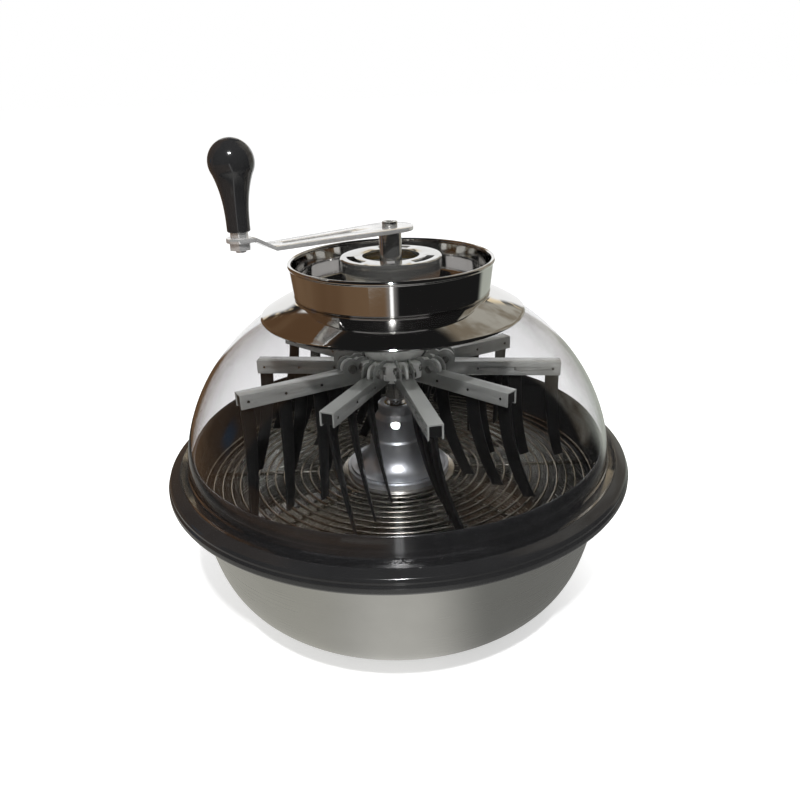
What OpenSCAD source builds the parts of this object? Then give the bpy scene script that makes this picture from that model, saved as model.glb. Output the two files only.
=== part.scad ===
// Hand-cranked bowl leaf trimmer.
// A crank on the lid turns rubber fingers that sweep leaves over a wire grate.
// A planetary gearbox in the middle of the grate spins the blades under it.
// Z is up; the origin is the middle of the bowl's flat base.

/* [Bowl] */
// Radius of the flat base that the bowl stands on
bowl_base_r = 105; // [80:1:120]
// Inner radius of the bowl at its mouth
bowl_mouth_r = 198.5; // [197:0.5:200]
// Height of the bowl from the table to the top of its flange
bowl_h = 138.7; // [125:0.1:160]
// Sheet thickness of the bowl
bowl_wall = 1.5; // [1:0.1:2.5]
// Width of the flange turned out at the mouth
bowl_flange_w = 9; // [7:0.5:10]
// How far the upper wall leans out from the base knuckle to the mouth
bowl_lean = 26; // [15:1:40]
// How tightly the base turns up into the wall
bowl_knuckle = 5.7; // [4:0.1:8]

/* [Rim ring] */
// How far the ring's lip stands out beyond the bowl's mouth
ring_over = 21.5; // [19.5:0.5:30]
// Height of the rounded lip at the ring's outer edge
lip_h = 9; // [6:0.5:10]
// Height of the seat for the dome above the underside of the lip
seat_h = 16; // [14:0.5:22]
// Height of the collar that stands inside the dome, above the lip
collar_h = 36; // [30:1:50]
// Wall thickness of the moulded ring
ring_wall = 3.5; // [2.5:0.1:5]
// Depth of the grate ledge below the lip
ledge_drop = 14; // [12:0.5:18]
// Thickness of the rubber seal under the ring
seal_t = 1; // [0.8:0.1:2]

/* [Dome] */
// How far the dome's widest level lies outside the bowl's mouth
dome_over = 2.7; // [2:0.1:3.5]
// Height of the dome from its widest level to its imagined peak
dome_rise = 176; // [165:1:190]
// Wall thickness of the clear dome
dome_wall = 3; // [2:0.1:3.5]
// Width of the foot flange outside the dome wall
foot_w = 6.3; // [4:0.1:7]
// Distance from the dome's widest level up to its foot
foot_lift = 6; // [2:0.5:10]

/* [Cup and skirt] */
// Outer radius of the polished cup at its floor
cup_r = 89; // [88:0.5:92]
// Height of the polished cup
cup_h = 31; // [26:0.5:40]
// Outward lean of the cup wall from floor to rim
cup_lean = 1.8; // [0:0.1:3]
// Radius of the rolled bead round the cup's rim
cup_bead_r = 1.9; // [1.5:0.1:2.5]
// Width of the skirt beyond the cup's floor
skirt_w = 30.5; // [24:0.5:36]
// Gap between the dome and the skirt's outer edge, filled by the skirt seal
skirt_gap = 2; // [1.6:0.1:3]
// Sheet thickness of the cup and the skirt
sheet_t = 1.5; // [1:0.1:2]
// How far the clamp plate reaches beyond the cup's floor, inside the dome
plate_over = 9; // [6:1:16]
// Thickness of the clamp plate
plate_t = 2; // [1.5:0.1:3]

/* [Bearing boss] */
// Radius of the boss at its top edge
boss_r = 45.6; // [42:0.1:50]
// How much the boss narrows towards the cup floor
boss_draft = 3; // [0:0.5:5]
// Height of the boss above the cup floor
boss_h = 31.5; // [26:0.5:36]
// Thickness of the boss's top and side walls
boss_wall = 3; // [2:0.1:5]
// Radius of the hole in the boss's top
boss_hole_r = 25.6; // [24.5:0.1:28]
// Width of each kidney slot in the boss's top
kidney_w = 7; // [4:0.5:9]
// Radius of the bearing housing below the cup
housing_r = 28; // [27:0.5:30]
// Length of the bearing housing below the clamp plate
housing_drop = 48; // [40:1:52]

/* [Shaft and crank] */
// Radius of the crank shaft
shaft_r = 10; // [9:0.1:11]
// Height of the shaft's top face above the cup's rim
shaft_rise = 24.5; // [20:0.5:35]
// Distance from the shaft to the knob
crank_len = 142; // [120:1:160]
// Direction of the crank arm, anticlockwise from +X
crank_turn = 215; // [0:1:359]
// Radius of the crank's round hub end
crank_hub_r = 21; // [16:0.5:24]
// Radius of the crank's round outer end
crank_end_r = 10.5; // [9:0.5:13]
// Thickness of the crank arm
crank_t = 3.2; // [2.5:0.1:5]
// Height of the step near the crank's outer end
crank_step = 9; // [5:0.5:14]
// Distance from the knob back to the foot of the crank's step
crank_bend = 25; // [22:0.5:34]

/* [Knob] */
// Radius of the knob at its foot
knob_foot_r = 9; // [8.5:0.1:11]
// Radius of the knob's round head
knob_head_r = 17.5; // [16:0.1:21]
// Height of the knob
knob_h = 68.8; // [60:0.2:85]
// Radius of the spindle that the knob turns on
spindle_r = 4; // [3:0.1:4.5]

/* [Finger rotor] */
// Number of pairs of one long and one short arm
arm_pairs = 5; // [4:1:5]
// Turn of the first long arm from +X
arm_turn = -7; // [-18:0.5:18]
// Distance from the bowl's mouth in to the tips of the long arms
long_arm_in = 45; // [42:0.5:52]
// How much shorter the short arms are
arm_step = 21.5; // [14:0.5:26]
// Width and height of the channel that the arms are cut from
arm_w = 13; // [12:0.1:14]
// Wall thickness of the arm channel
arm_wall = 1.5; // [1.2:0.1:2]
// Gap between the bearing housing and the rotor's hub
hub_gap = 0.6; // [0.4:0.1:2]
// Radius of the rotor's hub
hub_r = 23; // [20:0.5:24]
// Radius of the screws that hold the arms
arm_screw_r = 1.6; // [1.4:0.1:1.8]
// Distance from the axis to the inner arm screw
arm_screw_in = 37; // [36:0.5:38]
// Distance between the two screws of an arm
arm_screw_pitch = 11; // [10:0.5:14]

/* [Rubber fingers] */
// Width of a finger along its arm
finger_w = 12.5; // [9:0.1:14]
// Thickness of a finger below its head
finger_t = 3.2; // [2:0.1:4]
// Gap between the gearbox and the innermost fingers' heads, seen from above
finger_clear = 0.7; // [0:0.1:4]
// Gap between the fingers' ends and the grate
finger_gap = 4; // [2:0.5:10]
// How far the end of a finger trails round the axis
finger_sweep = 24; // [0:1:28]
// How far the end of a finger leans away from the axis
finger_lean = 13; // [0:1:16]
// Twist of a finger from head to end, in degrees
finger_twist = 35; // [0:5:45]

/* [Grate] */
// Diameter of the grate's round wires
wire_d = 2.6; // [2:0.1:3]
// Diameter of the grate's radial rods
rod_d = 4; // [3:0.1:5]
// Distance between neighbouring round wires
wire_pitch = 8.5; // [7:0.1:12]
// Number of radial rods
rod_count = 8; // [6:2:10]
// Thickness of the plate in the middle of the grate
hub_plate_t = 2.5; // [2:0.1:3]

/* [Gearbox] */
// Outer radius of the gearbox base and cover flange
gearbox_r = 50; // [49:0.5:52]
// Height of the cover from its flange face to the top of its neck
cover_h = 68.5; // [62:0.5:74]
// Radius of the cover's neck
neck_r = 17.5; // [16.5:0.1:19]
// Radius of the bushes in the cover's neck
neck_bush_r = 12; // [10:0.1:13]
// Gear module
gear_m = 1.25; // [1.2:0.01:1.26]
// Width of the gears
gear_w = 8; // [5:0.5:8.5]
// Free play between the gear teeth, taken off each tooth
backlash = 0.12; // [0.08:0.01:0.2]
// Radius of the input shaft
input_r = 6; // [5:0.1:6.5]
// Width across the flats of the hexagonal drive
drive_af = 10; // [9:0.1:10.2]
// Radius of the blade shaft
blade_shaft_r = 5; // [4:0.1:6]

/* [Blades] */
// Distance from the bowl's mouth in to the tips of the blades
blade_in = 33.5; // [28:0.5:48]
// Width of a blade at the middle
blade_w = 24; // [22:0.5:30]
// Thickness of a blade
blade_t = 2; // [1.5:0.1:2.5]

/* [Hidden] */
$fn = 96;

// Clearances: parts that only sit on each other, a running shaft, a loose hexagon.
seat_gap = 0.3;
run_gap = 0.05;
hex_gap = 0.1;
eps = 0.01;

// Colours of the finishes
STEEL = [0.74, 0.75, 0.74];
MIRROR = [0.86, 0.87, 0.88];
ALUMINIUM = [0.66, 0.68, 0.68];
BRASS = [0.80, 0.62, 0.28];
BLACK = [0.06, 0.06, 0.06];
RUBBER = [0.10, 0.10, 0.10];
CLEAR = [0.85, 0.90, 0.92, 0.35];

// Levels of the rim
lip_z = bowl_h + seat_gap + seal_t;
seat_z = lip_z + seat_h;
collar_z = lip_z + collar_h;
ledge_z = lip_z - ledge_drop;
foot_z = seat_z + seat_gap;
foot_t = dome_wall;
dome_z0 = foot_z - foot_lift;
ring_in_r = bowl_mouth_r - 3 - ring_wall;
ring_r = bowl_mouth_r + ring_over;
dome_r = bowl_mouth_r + dome_over;

// Height of the dome's outer and inner faces at radius r, and radius at height z
function dome_top(r) = dome_z0 + dome_rise * sqrt(1 - pow(r / dome_r, 2));
function dome_under(r) =
    dome_z0 + (dome_rise - dome_wall) * sqrt(1 - pow(r / (dome_r - dome_wall), 2));
function dome_in_r(z) =
    (dome_r - dome_wall) * sqrt(1 - pow((z - dome_z0) / (dome_rise - dome_wall), 2));

// Levels of the parts stacked on the dome
skirt_in_r = cup_r - 3;
skirt_r = cup_r + skirt_w;
skirt_root_gap = 1.1;
dome_mouth_r = cup_r - 1.5;
plate_r = cup_r + plate_over;
cup_z = dome_top(cup_r) + skirt_root_gap + sheet_t;
cup_floor_z = cup_z + sheet_t;
cup_top_z = cup_z + cup_h;
plate_z = dome_under(plate_r) - seat_gap - plate_t;
boss_z = cup_floor_z + boss_h;
housing_z = plate_z - housing_drop;
housing_top_z = boss_z - 13;
bush_flange_t = 3;
shaft_top_z = cup_top_z + shaft_rise;

// Levels of the finger rotor
hub_top_z = housing_z - hub_gap;
hub_h = 21;
arm_top_z = hub_top_z - 5;
arm_z = arm_top_z - arm_w / 2;
ear_z = arm_top_z + 2.5;
ear_r = 9;
arm_root_r = hub_r + 3;
long_arm_r = bowl_mouth_r - long_arm_in;
short_arm_r = long_arm_r - arm_step;
finger_edge = 0.8;
finger_pitch = (short_arm_r - finger_edge - finger_w - gearbox_r - finger_clear) / 2;
arm_count = 2 * arm_pairs;
head_h = 9;

// Levels of the grate
rod_z = ledge_z + rod_d / 2;
weld = 0.3;
wire_z = ledge_z + rod_d + wire_d / 2 - weld;
grate_top_z = wire_z + wire_d / 2;
hub_plate_z = ledge_z + rod_d / 2;
hub_plate_r = gearbox_r + 6;
wire_out_r = ring_in_r - wire_d / 2 - 0.6;
wire_count = floor((wire_out_r - hub_plate_r - wire_d) / wire_pitch) + 1;
finger_end_z = grate_top_z + finger_gap;

// Gearbox: the ring gear has three times the teeth of a pinion, so the sun
// turns four times for each turn of the planet carrier.
base_z = hub_plate_z + hub_plate_t;
base_t = 3;
flange_z = base_z + base_t;
gear_z = flange_z + 0.5;
pinion_teeth = 15;
ring_teeth = 3 * pinion_teeth;
pressure_angle = 25;
addendum = 0.9 * gear_m;
dedendum = 1.15 * gear_m;
pinion_r = gear_m * pinion_teeth / 2;
planet_r = 2 * pinion_r;
ring_gear_r = gear_m * ring_teeth / 2 + dedendum + 3.3;
carrier_z = gear_z + gear_w + 0.4;
carrier_t = 3;
carrier_r = planet_r + 5.5;
planet_pin_r = 2.5;
cavity_r = ring_gear_r + 0.2;
cavity_top_z = carrier_z + carrier_t + 2.7;
neck_z = flange_z + cover_h;
bell_top_z = flange_z + cover_h * 0.49;
bell_foot_z = flange_z + 5;
bell_r = neck_r + 8.5;
bush_h = 10;
drive_z = neck_z + 1;
drive_h = 20;
socket_z = neck_z + 4;
boss_under_r = 13;
output_bush_r = 8.5;
base_boss_z = ledge_z - 0.4;

// Blade stack, from the spacer down
spacer_t = 1;
blade_r = bowl_mouth_r - blade_in;
blade_top_z = base_boss_z - 0.4 - spacer_t;
washer_t = 3;
nut_t = 5;
blade_nut_z = blade_top_z - 2 * blade_t - washer_t - nut_t;

// Crank and knob levels
crank_bottom_z = shaft_top_z;
pad_z = crank_bottom_z + crank_step;
spindle_nut_t = 6;
collar_t = 4.5;
knob_z = pad_z + crank_t + collar_t + seat_gap;
knob_centre_z = knob_h - knob_head_r;
knob_join_z = knob_centre_z - 0.5 * knob_head_r;

// Inward offset of a path of [radius, height] points by distance d
function unit(v) = v / norm(v);
function path_dir(p, i) = unit(p[min(i + 1, len(p) - 1)] - p[max(i - 1, 0)]);
function inset(p, d) = [for (i = [0:len(p) - 1]) p[i] + d * [-path_dir(p, i)[1], path_dir(p, i)[0]]];
function reversed(p) = [for (i = [len(p) - 1:-1:0]) p[i]];

module ring(r_out, r_in, z, h) {
    translate([0, 0, z]) difference() {
        cylinder(r = r_out, h = h);
        translate([0, 0, -1]) cylinder(r = r_in, h = h + 2);
    }
}

module around(count, turn = 0) {
    for (i = [0:count - 1]) rotate([0, 0, turn + i * 360 / count]) children();
}

// ---------------------------------------------------------------- bowl

function bowl_point(u) = [
    bowl_base_r + bowl_lean * u
        + (bowl_mouth_r + bowl_wall - bowl_base_r - bowl_lean) * (1 - pow(1 - u, bowl_knuckle)),
    u * (bowl_h - bowl_wall)];

module bowl() {
    outside = [for (i = [0:16]) bowl_point(pow(i / 16, 1.6))];
    inside = inset(outside, bowl_wall);
    flange_r = bowl_mouth_r + bowl_wall + bowl_flange_w;
    color(STEEL) rotate_extrude() polygon(concat(
        [[0, 0]], outside,
        [[flange_r, bowl_h - bowl_wall], [flange_r, bowl_h], [bowl_mouth_r, bowl_h]],
        [for (p = reversed(inside)) if (p[1] < bowl_h - bowl_wall - 1) p],
        [[0, bowl_wall]]));
}

// ---------------------------------------------------------------- rim ring

module rim_ring() {
    skirt_out_r = ring_in_r + ring_wall;
    seat_r = dome_r + foot_w + seat_gap;
    collar_foot_r = dome_in_r(seat_z) - 0.6;
    collar_top_r = dome_in_r(collar_z) - 0.6;
    groove_r = seat_r + ring_wall - 2;
    ridge_r = ring_r - 1.4;
    color(BLACK) rotate_extrude() polygon([
        [ring_in_r - 5, ledge_z - 4], [skirt_out_r - 0.6, ledge_z - 4], [skirt_out_r, lip_z],
        [groove_r - 1, lip_z], [groove_r, lip_z + seat_h - ring_wall - 2],
        [ring_r - 5.5, lip_z + seat_h - ring_wall - 4], [ring_r - 4.5, lip_z + 0.5],
        [ring_r - 1.5, lip_z + 0.5], [ring_r, lip_z + 3], [ring_r, lip_z + lip_h - 1.6],
        [ridge_r, lip_z + lip_h], [ridge_r, lip_z + lip_h + 2.4],
        [ridge_r - 1.6, lip_z + seat_h - 2.2], [seat_r + 4, seat_z],
        [seat_r + 1.2, seat_z + 1], [seat_r, seat_z + 1], [seat_r, seat_z],
        [collar_foot_r, seat_z], [collar_top_r, collar_z - 1.5], [collar_top_r - 1.2, collar_z],
        [ring_in_r + 1.2, collar_z], [ring_in_r, collar_z - 1.2], [ring_in_r, ledge_z],
        [ring_in_r - 5, ledge_z]]);
}

module rim_seal() {
    flange_r = bowl_mouth_r + bowl_wall + bowl_flange_w;
    color(RUBBER) ring(flange_r - 1.5, bowl_mouth_r + 0.5, lip_z - seal_t, seal_t);
}

// ---------------------------------------------------------------- grate

module grate() {
    octagon = 22.5;
    color(STEEL) {
        for (i = [0:wire_count - 1]) rotate_extrude()
            translate([wire_out_r - i * wire_pitch, wire_z]) rotate(octagon)
                circle(d = wire_d / cos(octagon), $fn = 8);
        around(rod_count) translate([hub_plate_r - 6, 0, rod_z]) rotate([0, 90, 0])
            rotate([0, 0, octagon])
                cylinder(d = rod_d / cos(octagon), h = wire_out_r + 1 - hub_plate_r + 6, $fn = 8);
        difference() {
            ring(hub_plate_r, boss_under_r + 0.5, hub_plate_z, hub_plate_t);
            around(6, gearbox_screw_turn) translate([gearbox_screw_pcr, 0, hub_plate_z - 1])
                cylinder(r = gearbox_screw_r, h = hub_plate_t + 2);
        }
    }
}

// ---------------------------------------------------------------- gearbox shell

gearbox_screw_r = 1.6;
gearbox_screw_pcr = gearbox_r - 4;
gearbox_screw_turn = 15;
gearbox_head_t = 2.2;

module gearbox_base() {
    color(STEEL) difference() {
        union() {
            translate([0, 0, base_z]) cylinder(r = gearbox_r, h = base_t);
            translate([0, 0, base_boss_z]) cylinder(r = boss_under_r, h = base_z - base_boss_z + 1);
        }
        translate([0, 0, base_boss_z - 1]) cylinder(r = output_bush_r, h = base_z + base_t);
        around(6, gearbox_screw_turn) translate([gearbox_screw_pcr, 0, base_z - 1])
            cylinder(r = gearbox_screw_r, h = base_t + 2);
    }
}

// The bell runs from the base flange up to the shoulder on a quarter ellipse.
function bell_point(u) = [
    bell_r + (gearbox_r - 4 - bell_r) * (1 - sqrt(1 - u * u)),
    bell_top_z - (bell_top_z - bell_foot_z) * u];

module gearbox_cover() {
    shoulder_z = neck_z - 10;
    bell = [for (i = [12:-1:0]) bell_point(sin(90 * i / 12))];
    color(MIRROR) difference() {
        rotate_extrude() polygon(concat(
            [[0, flange_z], [gearbox_r, flange_z], [gearbox_r, flange_z + 3],
             [gearbox_r - 3, flange_z + 3], [gearbox_r - 3, bell_foot_z]],
            bell,
            [[bell_r - 1.8, bell_top_z + 1.5], [bell_r - 2.4, bell_top_z + 4],
             [neck_r + 3.4, shoulder_z - 4], [neck_r + 0.6, shoulder_z], [neck_r, shoulder_z + 1],
             [neck_r, neck_z - 1], [neck_r - 1, neck_z], [0, neck_z]]));
        rotate_extrude() polygon([
            [0, flange_z - 1], [cavity_r, flange_z - 1], [cavity_r, carrier_z],
            [carrier_r + 2, cavity_top_z], [0, cavity_top_z]]);
        cylinder(r = neck_bush_r, h = neck_z + 1);
        around(6, gearbox_screw_turn) translate([gearbox_screw_pcr, 0, flange_z - 1])
            cylinder(r = gearbox_screw_r, h = 3);
    }
}

module gearbox_screws() {
    color(STEEL) around(6, gearbox_screw_turn) translate([gearbox_screw_pcr, 0, 0]) {
        translate([0, 0, hub_plate_z - gearbox_head_t - eps])
            cylinder(r = 2 * gearbox_screw_r, h = gearbox_head_t);
        translate([0, 0, hub_plate_z - gearbox_head_t])
            cylinder(r = gearbox_screw_r - 0.05, h = flange_z + 1.8 - hub_plate_z + gearbox_head_t);
    }
}

module input_bush_lower() {
    color(BRASS) ring(neck_bush_r, input_r + run_gap, cavity_top_z + 0.3, bush_h);
}

module input_bush_upper() {
    color(BRASS) ring(neck_bush_r, input_r + run_gap, neck_z - 2 - bush_h, bush_h);
}

module blade_shaft_bush() {
    color(BRASS) ring(output_bush_r, blade_shaft_r + run_gap, base_boss_z, flange_z - base_boss_z);
}

// ---------------------------------------------------------------- gears

// Involute function of angle a, in degrees
function inv_deg(a) = (tan(a) - a * PI / 180) * 180 / PI;

// Half angle of a tooth at radius r, for a gear with the given teeth
function tooth_half(teeth, thin, r) =
    let (pitch_r = gear_m * teeth / 2, base_r = pitch_r * cos(pressure_angle))
    90 / teeth - thin / 2 / pitch_r * 180 / PI + inv_deg(pressure_angle)
        - inv_deg(acos(min(1, base_r / r)));

// Outline of a gear; a negative thin gives the wider spaces of a ring gear
module gear_outline(teeth, root_r, tip_r, thin) {
    steps = 4;
    radii = [for (k = [0:steps]) root_r + (tip_r - root_r) * k / steps];
    polygon([for (i = [0:teeth - 1]) each concat(
        [for (r = radii) let (a = 360 * i / teeth - tooth_half(teeth, thin, r)) r * [cos(a), sin(a)]],
        [for (r = reversed(radii))
            let (a = 360 * i / teeth + tooth_half(teeth, thin, r)) r * [cos(a), sin(a)]])]);
}

module pinion(bore_r) {
    difference() {
        linear_extrude(gear_w)
            gear_outline(pinion_teeth, pinion_r - dedendum, pinion_r + addendum, backlash);
        if (bore_r > 0) translate([0, 0, -1]) cylinder(r = bore_r, h = gear_w + 2);
    }
}

module ring_gear() {
    pitch_r = gear_m * ring_teeth / 2;
    color(STEEL) translate([0, 0, flange_z]) linear_extrude(gear_z + gear_w - flange_z) difference() {
        circle(r = ring_gear_r);
        gear_outline(ring_teeth, pitch_r - addendum, pitch_r + dedendum, -backlash);
    }
}

module planet_gear(i) {
    turn = i * 120;
    color(BRASS) rotate([0, 0, turn]) translate([planet_r, 0, gear_z]) pinion(planet_pin_r + run_gap);
}

module planet_carrier() {
    color(STEEL) difference() {
        translate([0, 0, carrier_z]) cylinder(r = carrier_r, h = carrier_t);
        translate([0, 0, carrier_z - 1]) cylinder(r = input_r, h = carrier_t + 2);
        around(3) translate([planet_r, 0, carrier_z - 1]) cylinder(r = planet_pin_r, h = carrier_t + 2);
    }
}

module planet_pins() {
    color(STEEL) around(3) translate([planet_r, 0, gear_z + 0.5])
        cylinder(r = planet_pin_r, h = carrier_z + carrier_t - gear_z - 0.5);
}

module input_shaft() {
    color(MIRROR) {
        translate([0, 0, carrier_z]) cylinder(r = input_r, h = drive_z - carrier_z);
        translate([0, 0, drive_z - eps]) cylinder(r = drive_af / 2 / cos(30), h = drive_h, $fn = 6);
    }
}

module input_clip() {
    color(STEEL) ring(input_r + 3, input_r, neck_z - 2 + seat_gap, 1.2);
}

module blade_shaft() {
    color(STEEL) {
        translate([0, 0, gear_z]) pinion(0);
        translate([0, 0, blade_nut_z - 2]) cylinder(r = blade_shaft_r, h = gear_z - blade_nut_z + 3);
    }
}

// ---------------------------------------------------------------- blades

module blade_spacer() {
    color(STEEL) ring(blade_shaft_r + 7, blade_shaft_r, blade_top_z, spacer_t);
}

// A flat bar that narrows to its tips, ground to an edge on its leading sides
module blade() {
    tip_w = blade_w * 0.62;
    grind = 4;
    difference() {
        linear_extrude(blade_t) difference() {
            polygon([for (s = [1, -1]) each [
                [s * blade_shaft_r * 4, -s * blade_w / 2], [s * (blade_r - 8), -s * tip_w / 2],
                [s * blade_r, s * (tip_w / 2 - 6)], [s * (blade_r - 2), s * tip_w / 2],
                [s * blade_shaft_r * 4, s * blade_w / 2]]]);
            circle(r = blade_shaft_r);
        }
        around(2) translate([blade_shaft_r * 4 + 12, blade_w / 2, 0])
            rotate([0, 0, atan2(tip_w / 2 - blade_w / 2, blade_r - 2 - blade_shaft_r * 4)])
                rotate([atan2(blade_t, grind), 0, 0])
                    translate([0, -grind * 1.2, 0]) cube([blade_r, grind * 3, 3 * blade_t]);
    }
}

module upper_blade() {
    color(STEEL) translate([0, 0, blade_top_z - blade_t]) rotate([0, 0, 30]) blade();
}

module lower_blade() {
    color(STEEL) translate([0, 0, blade_top_z - 2 * blade_t]) rotate([0, 0, 120]) blade();
}

module blade_washer() {
    color(STEEL) ring(blade_shaft_r + 9, blade_shaft_r, blade_top_z - 2 * blade_t - washer_t, washer_t);
}

module blade_nut() {
    nut_af = 3.2 * blade_shaft_r;
    color(STEEL) translate([0, 0, blade_nut_z]) difference() {
        cylinder(r = nut_af / 2 / cos(30), h = nut_t, $fn = 6);
        translate([0, 0, -1]) cylinder(r = blade_shaft_r, h = nut_t + 2);
    }
}

// ---------------------------------------------------------------- dome

module dome() {
    foot_a = asin(foot_lift / dome_rise);
    mouth_a = acos(dome_mouth_r / dome_r);
    in_foot_a = asin(foot_lift / (dome_rise - dome_wall));
    in_mouth_a = acos(dome_mouth_r / (dome_r - dome_wall));
    steps = 24;
    outside = [for (i = [0:steps]) let (a = foot_a + (mouth_a - foot_a) * i / steps)
        [dome_r * cos(a), dome_z0 + dome_rise * sin(a)]];
    inside = [for (i = [steps:-1:0]) let (a = in_foot_a + (in_mouth_a - in_foot_a) * i / steps)
        [(dome_r - dome_wall) * cos(a), dome_z0 + (dome_rise - dome_wall) * sin(a)]];
    above_foot = [for (p = outside) if (p[1] > foot_z + foot_t + 1) p];
    color(CLEAR) rotate_extrude() polygon(concat(
        [[dome_r + foot_w, foot_z], [dome_r + foot_w, foot_z + foot_t],
         [outside[0][0], foot_z + foot_t]],
        above_foot, inside));
}

// ---------------------------------------------------------------- cup, skirt and clamp

module cup() {
    wall_r = cup_r + cup_lean;
    bead_z = cup_top_z - cup_bead_r;
    color(MIRROR) difference() {
        rotate_extrude() {
            polygon([[0, cup_z], [cup_r - 2, cup_z], [cup_r, cup_z + 2], [wall_r, bead_z],
                     [wall_r - sheet_t, bead_z], [cup_r - sheet_t, cup_floor_z + 1],
                     [cup_r - sheet_t - 1, cup_floor_z], [0, cup_floor_z]]);
            translate([wall_r, bead_z]) circle(r = cup_bead_r, $fn = 32);
        }
        translate([0, 0, cup_z - 1]) cylinder(r = housing_r + 0.1, h = sheet_t + 2);
        around(clamp_screw_count) translate([clamp_pcr, 0, cup_z - 1])
            cylinder(r = clamp_screw_r, h = sheet_t + 2);
    }
}

// The skirt follows the dome, with a gap that widens from the cup to its edge.
function skirt_under(r) = let (u = (r - cup_r) / (skirt_r - cup_r))
    dome_top(r) + skirt_root_gap + (skirt_gap - skirt_root_gap) * u;

module skirt() {
    steps = 6;
    under = [for (i = [0:steps]) let (r = cup_r + (skirt_r - cup_r) * i / steps) [r, skirt_under(r)]];
    color(MIRROR) rotate_extrude() polygon(concat(
        [[skirt_in_r, cup_z - sheet_t]], under,
        [for (p = reversed(under)) [p[0], p[1] + sheet_t]],
        [[skirt_in_r, cup_z]]));
}

module skirt_seal() {
    seal_in_r = skirt_r - 8.5;
    seal_out_r = skirt_r - 1.5;
    steps = 2;
    radii = [for (i = [0:steps]) seal_in_r + (seal_out_r - seal_in_r) * i / steps];
    color(RUBBER) rotate_extrude() polygon(concat(
        [for (r = radii) [r, dome_top(r) + 0.1]],
        [for (r = reversed(radii)) [r, skirt_under(r) - 0.1]]));
}

clamp_screw_count = 6;
clamp_screw_r = 2.5;
clamp_pcr = 36;
housing_flange_r = boss_r - 1.6;

module clamp_plate() {
    color(ALUMINIUM) difference() {
        ring(plate_r, housing_r + 0.1, plate_z, plate_t);
        around(clamp_screw_count) translate([clamp_pcr, 0, plate_z - 1])
            cylinder(r = clamp_screw_r, h = plate_t + 2);
    }
}

module clamp_screws() {
    head_t = 4;
    color(STEEL) around(clamp_screw_count) translate([clamp_pcr, 0, 0]) {
        translate([0, 0, plate_z - head_t]) difference() {
            cylinder(r = 1.8 * clamp_screw_r, h = head_t);
            translate([0, 0, -1]) cylinder(r = clamp_screw_r, h = 3, $fn = 6);
        }
        translate([0, 0, plate_z - eps])
            cylinder(r = clamp_screw_r - 0.05, h = cup_floor_z + 8 - plate_z);
    }
}

module bearing_housing() {
    color(ALUMINIUM) difference() {
        union() {
            translate([0, 0, housing_z + 2]) cylinder(r = housing_r, h = housing_top_z - housing_z - 2);
            translate([0, 0, housing_z]) cylinder(r1 = housing_r - 2, r2 = housing_r, h = 2 + eps);
            translate([0, 0, plate_z + plate_t])
                cylinder(r = housing_flange_r, h = cup_z - plate_z - plate_t);
        }
        translate([0, 0, housing_z - 1])
            cylinder(r = shaft_r + 2, h = housing_top_z - housing_z + 2);
        translate([0, 0, housing_z - 1]) cylinder(r = lower_bush_r, h = lower_bush_h + 1);
        translate([0, 0, housing_top_z - upper_bush_h])
            cylinder(r = upper_bush_r, h = upper_bush_h + 1);
        around(clamp_screw_count) translate([clamp_pcr, 0, plate_z])
            cylinder(r = clamp_screw_r, h = cup_z - plate_z + 1);
    }
}

// ---------------------------------------------------------------- boss and bushes

upper_bush_r = 22;
upper_bush_h = 14;
lower_bush_r = 18;
lower_bush_h = 14;

module boss() {
    kidney_r = (boss_r + boss_hole_r) / 2 + 0.5;
    kidney_span = 46;
    color(MIRROR) difference() {
        union() {
            difference() {
                rotate_extrude() polygon([
                    [0, cup_floor_z], [boss_r - boss_draft, cup_floor_z], [boss_r, boss_z - 1],
                    [boss_r - 1, boss_z], [0, boss_z]]);
                rotate_extrude() polygon([
                    [0, cup_floor_z - 1], [boss_r - boss_draft - boss_wall, cup_floor_z - 1],
                    [boss_r - boss_wall - 0.6, boss_z - boss_wall], [0, boss_z - boss_wall]]);
            }
            around(clamp_screw_count) translate([clamp_pcr, 0, cup_floor_z])
                cylinder(r = clamp_screw_r + 2.2, h = 11);
        }
        around(clamp_screw_count) translate([clamp_pcr, 0, cup_floor_z - 1])
            cylinder(r = clamp_screw_r, h = 10);
        translate([0, 0, boss_z - boss_wall - 1]) cylinder(r = boss_hole_r, h = boss_wall + 2);
        around(3, 62) translate([0, 0, boss_z - boss_wall - 1]) rotate_extrude(angle = kidney_span)
            translate([kidney_r - kidney_w / 2, 0]) square([kidney_w, boss_wall + 2]);
    }
}

module shaft_bush_upper() {
    color(BRASS) {
        ring(upper_bush_r, shaft_r + run_gap, housing_top_z - upper_bush_h, upper_bush_h + eps);
        ring(boss_hole_r - 0.6, shaft_r + run_gap, housing_top_z, bush_flange_t);
    }
}

module shaft_bush_lower() {
    color(BRASS) ring(lower_bush_r, shaft_r + run_gap, housing_z + 0.5, lower_bush_h - 0.5);
}

// ---------------------------------------------------------------- shaft and crank

crank_screw_r = 4;
pin_r = 2.5;

module crank_shaft() {
    socket_af = drive_af + 2 * hex_gap;
    color(MIRROR) difference() {
        translate([0, 0, socket_z]) cylinder(r = shaft_r, h = shaft_top_z - socket_z);
        translate([0, 0, socket_z - 1])
            cylinder(r = socket_af / 2 / cos(30), h = drive_z + drive_h - socket_z + 2, $fn = 6);
        translate([0, 0, shaft_top_z - 15]) cylinder(r = crank_screw_r, h = 16);
        translate([0, 0, hub_top_z - hub_h + 8]) rotate([90, 0, arm_turn])
            cylinder(r = pin_r, h = 4 * shaft_r, center = true);
    }
}

module shaft_clip() {
    color(STEEL) ring(shaft_r + 2.5, shaft_r, housing_top_z + bush_flange_t + seat_gap, 1.4);
}

// Points of an arc round centre c, from angle a to angle b
function arc(c, r, a, b, steps) =
    [for (i = [0:steps]) let (t = a + (b - a) * i / steps) c + r * [cos(t), sin(t)]];

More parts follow.
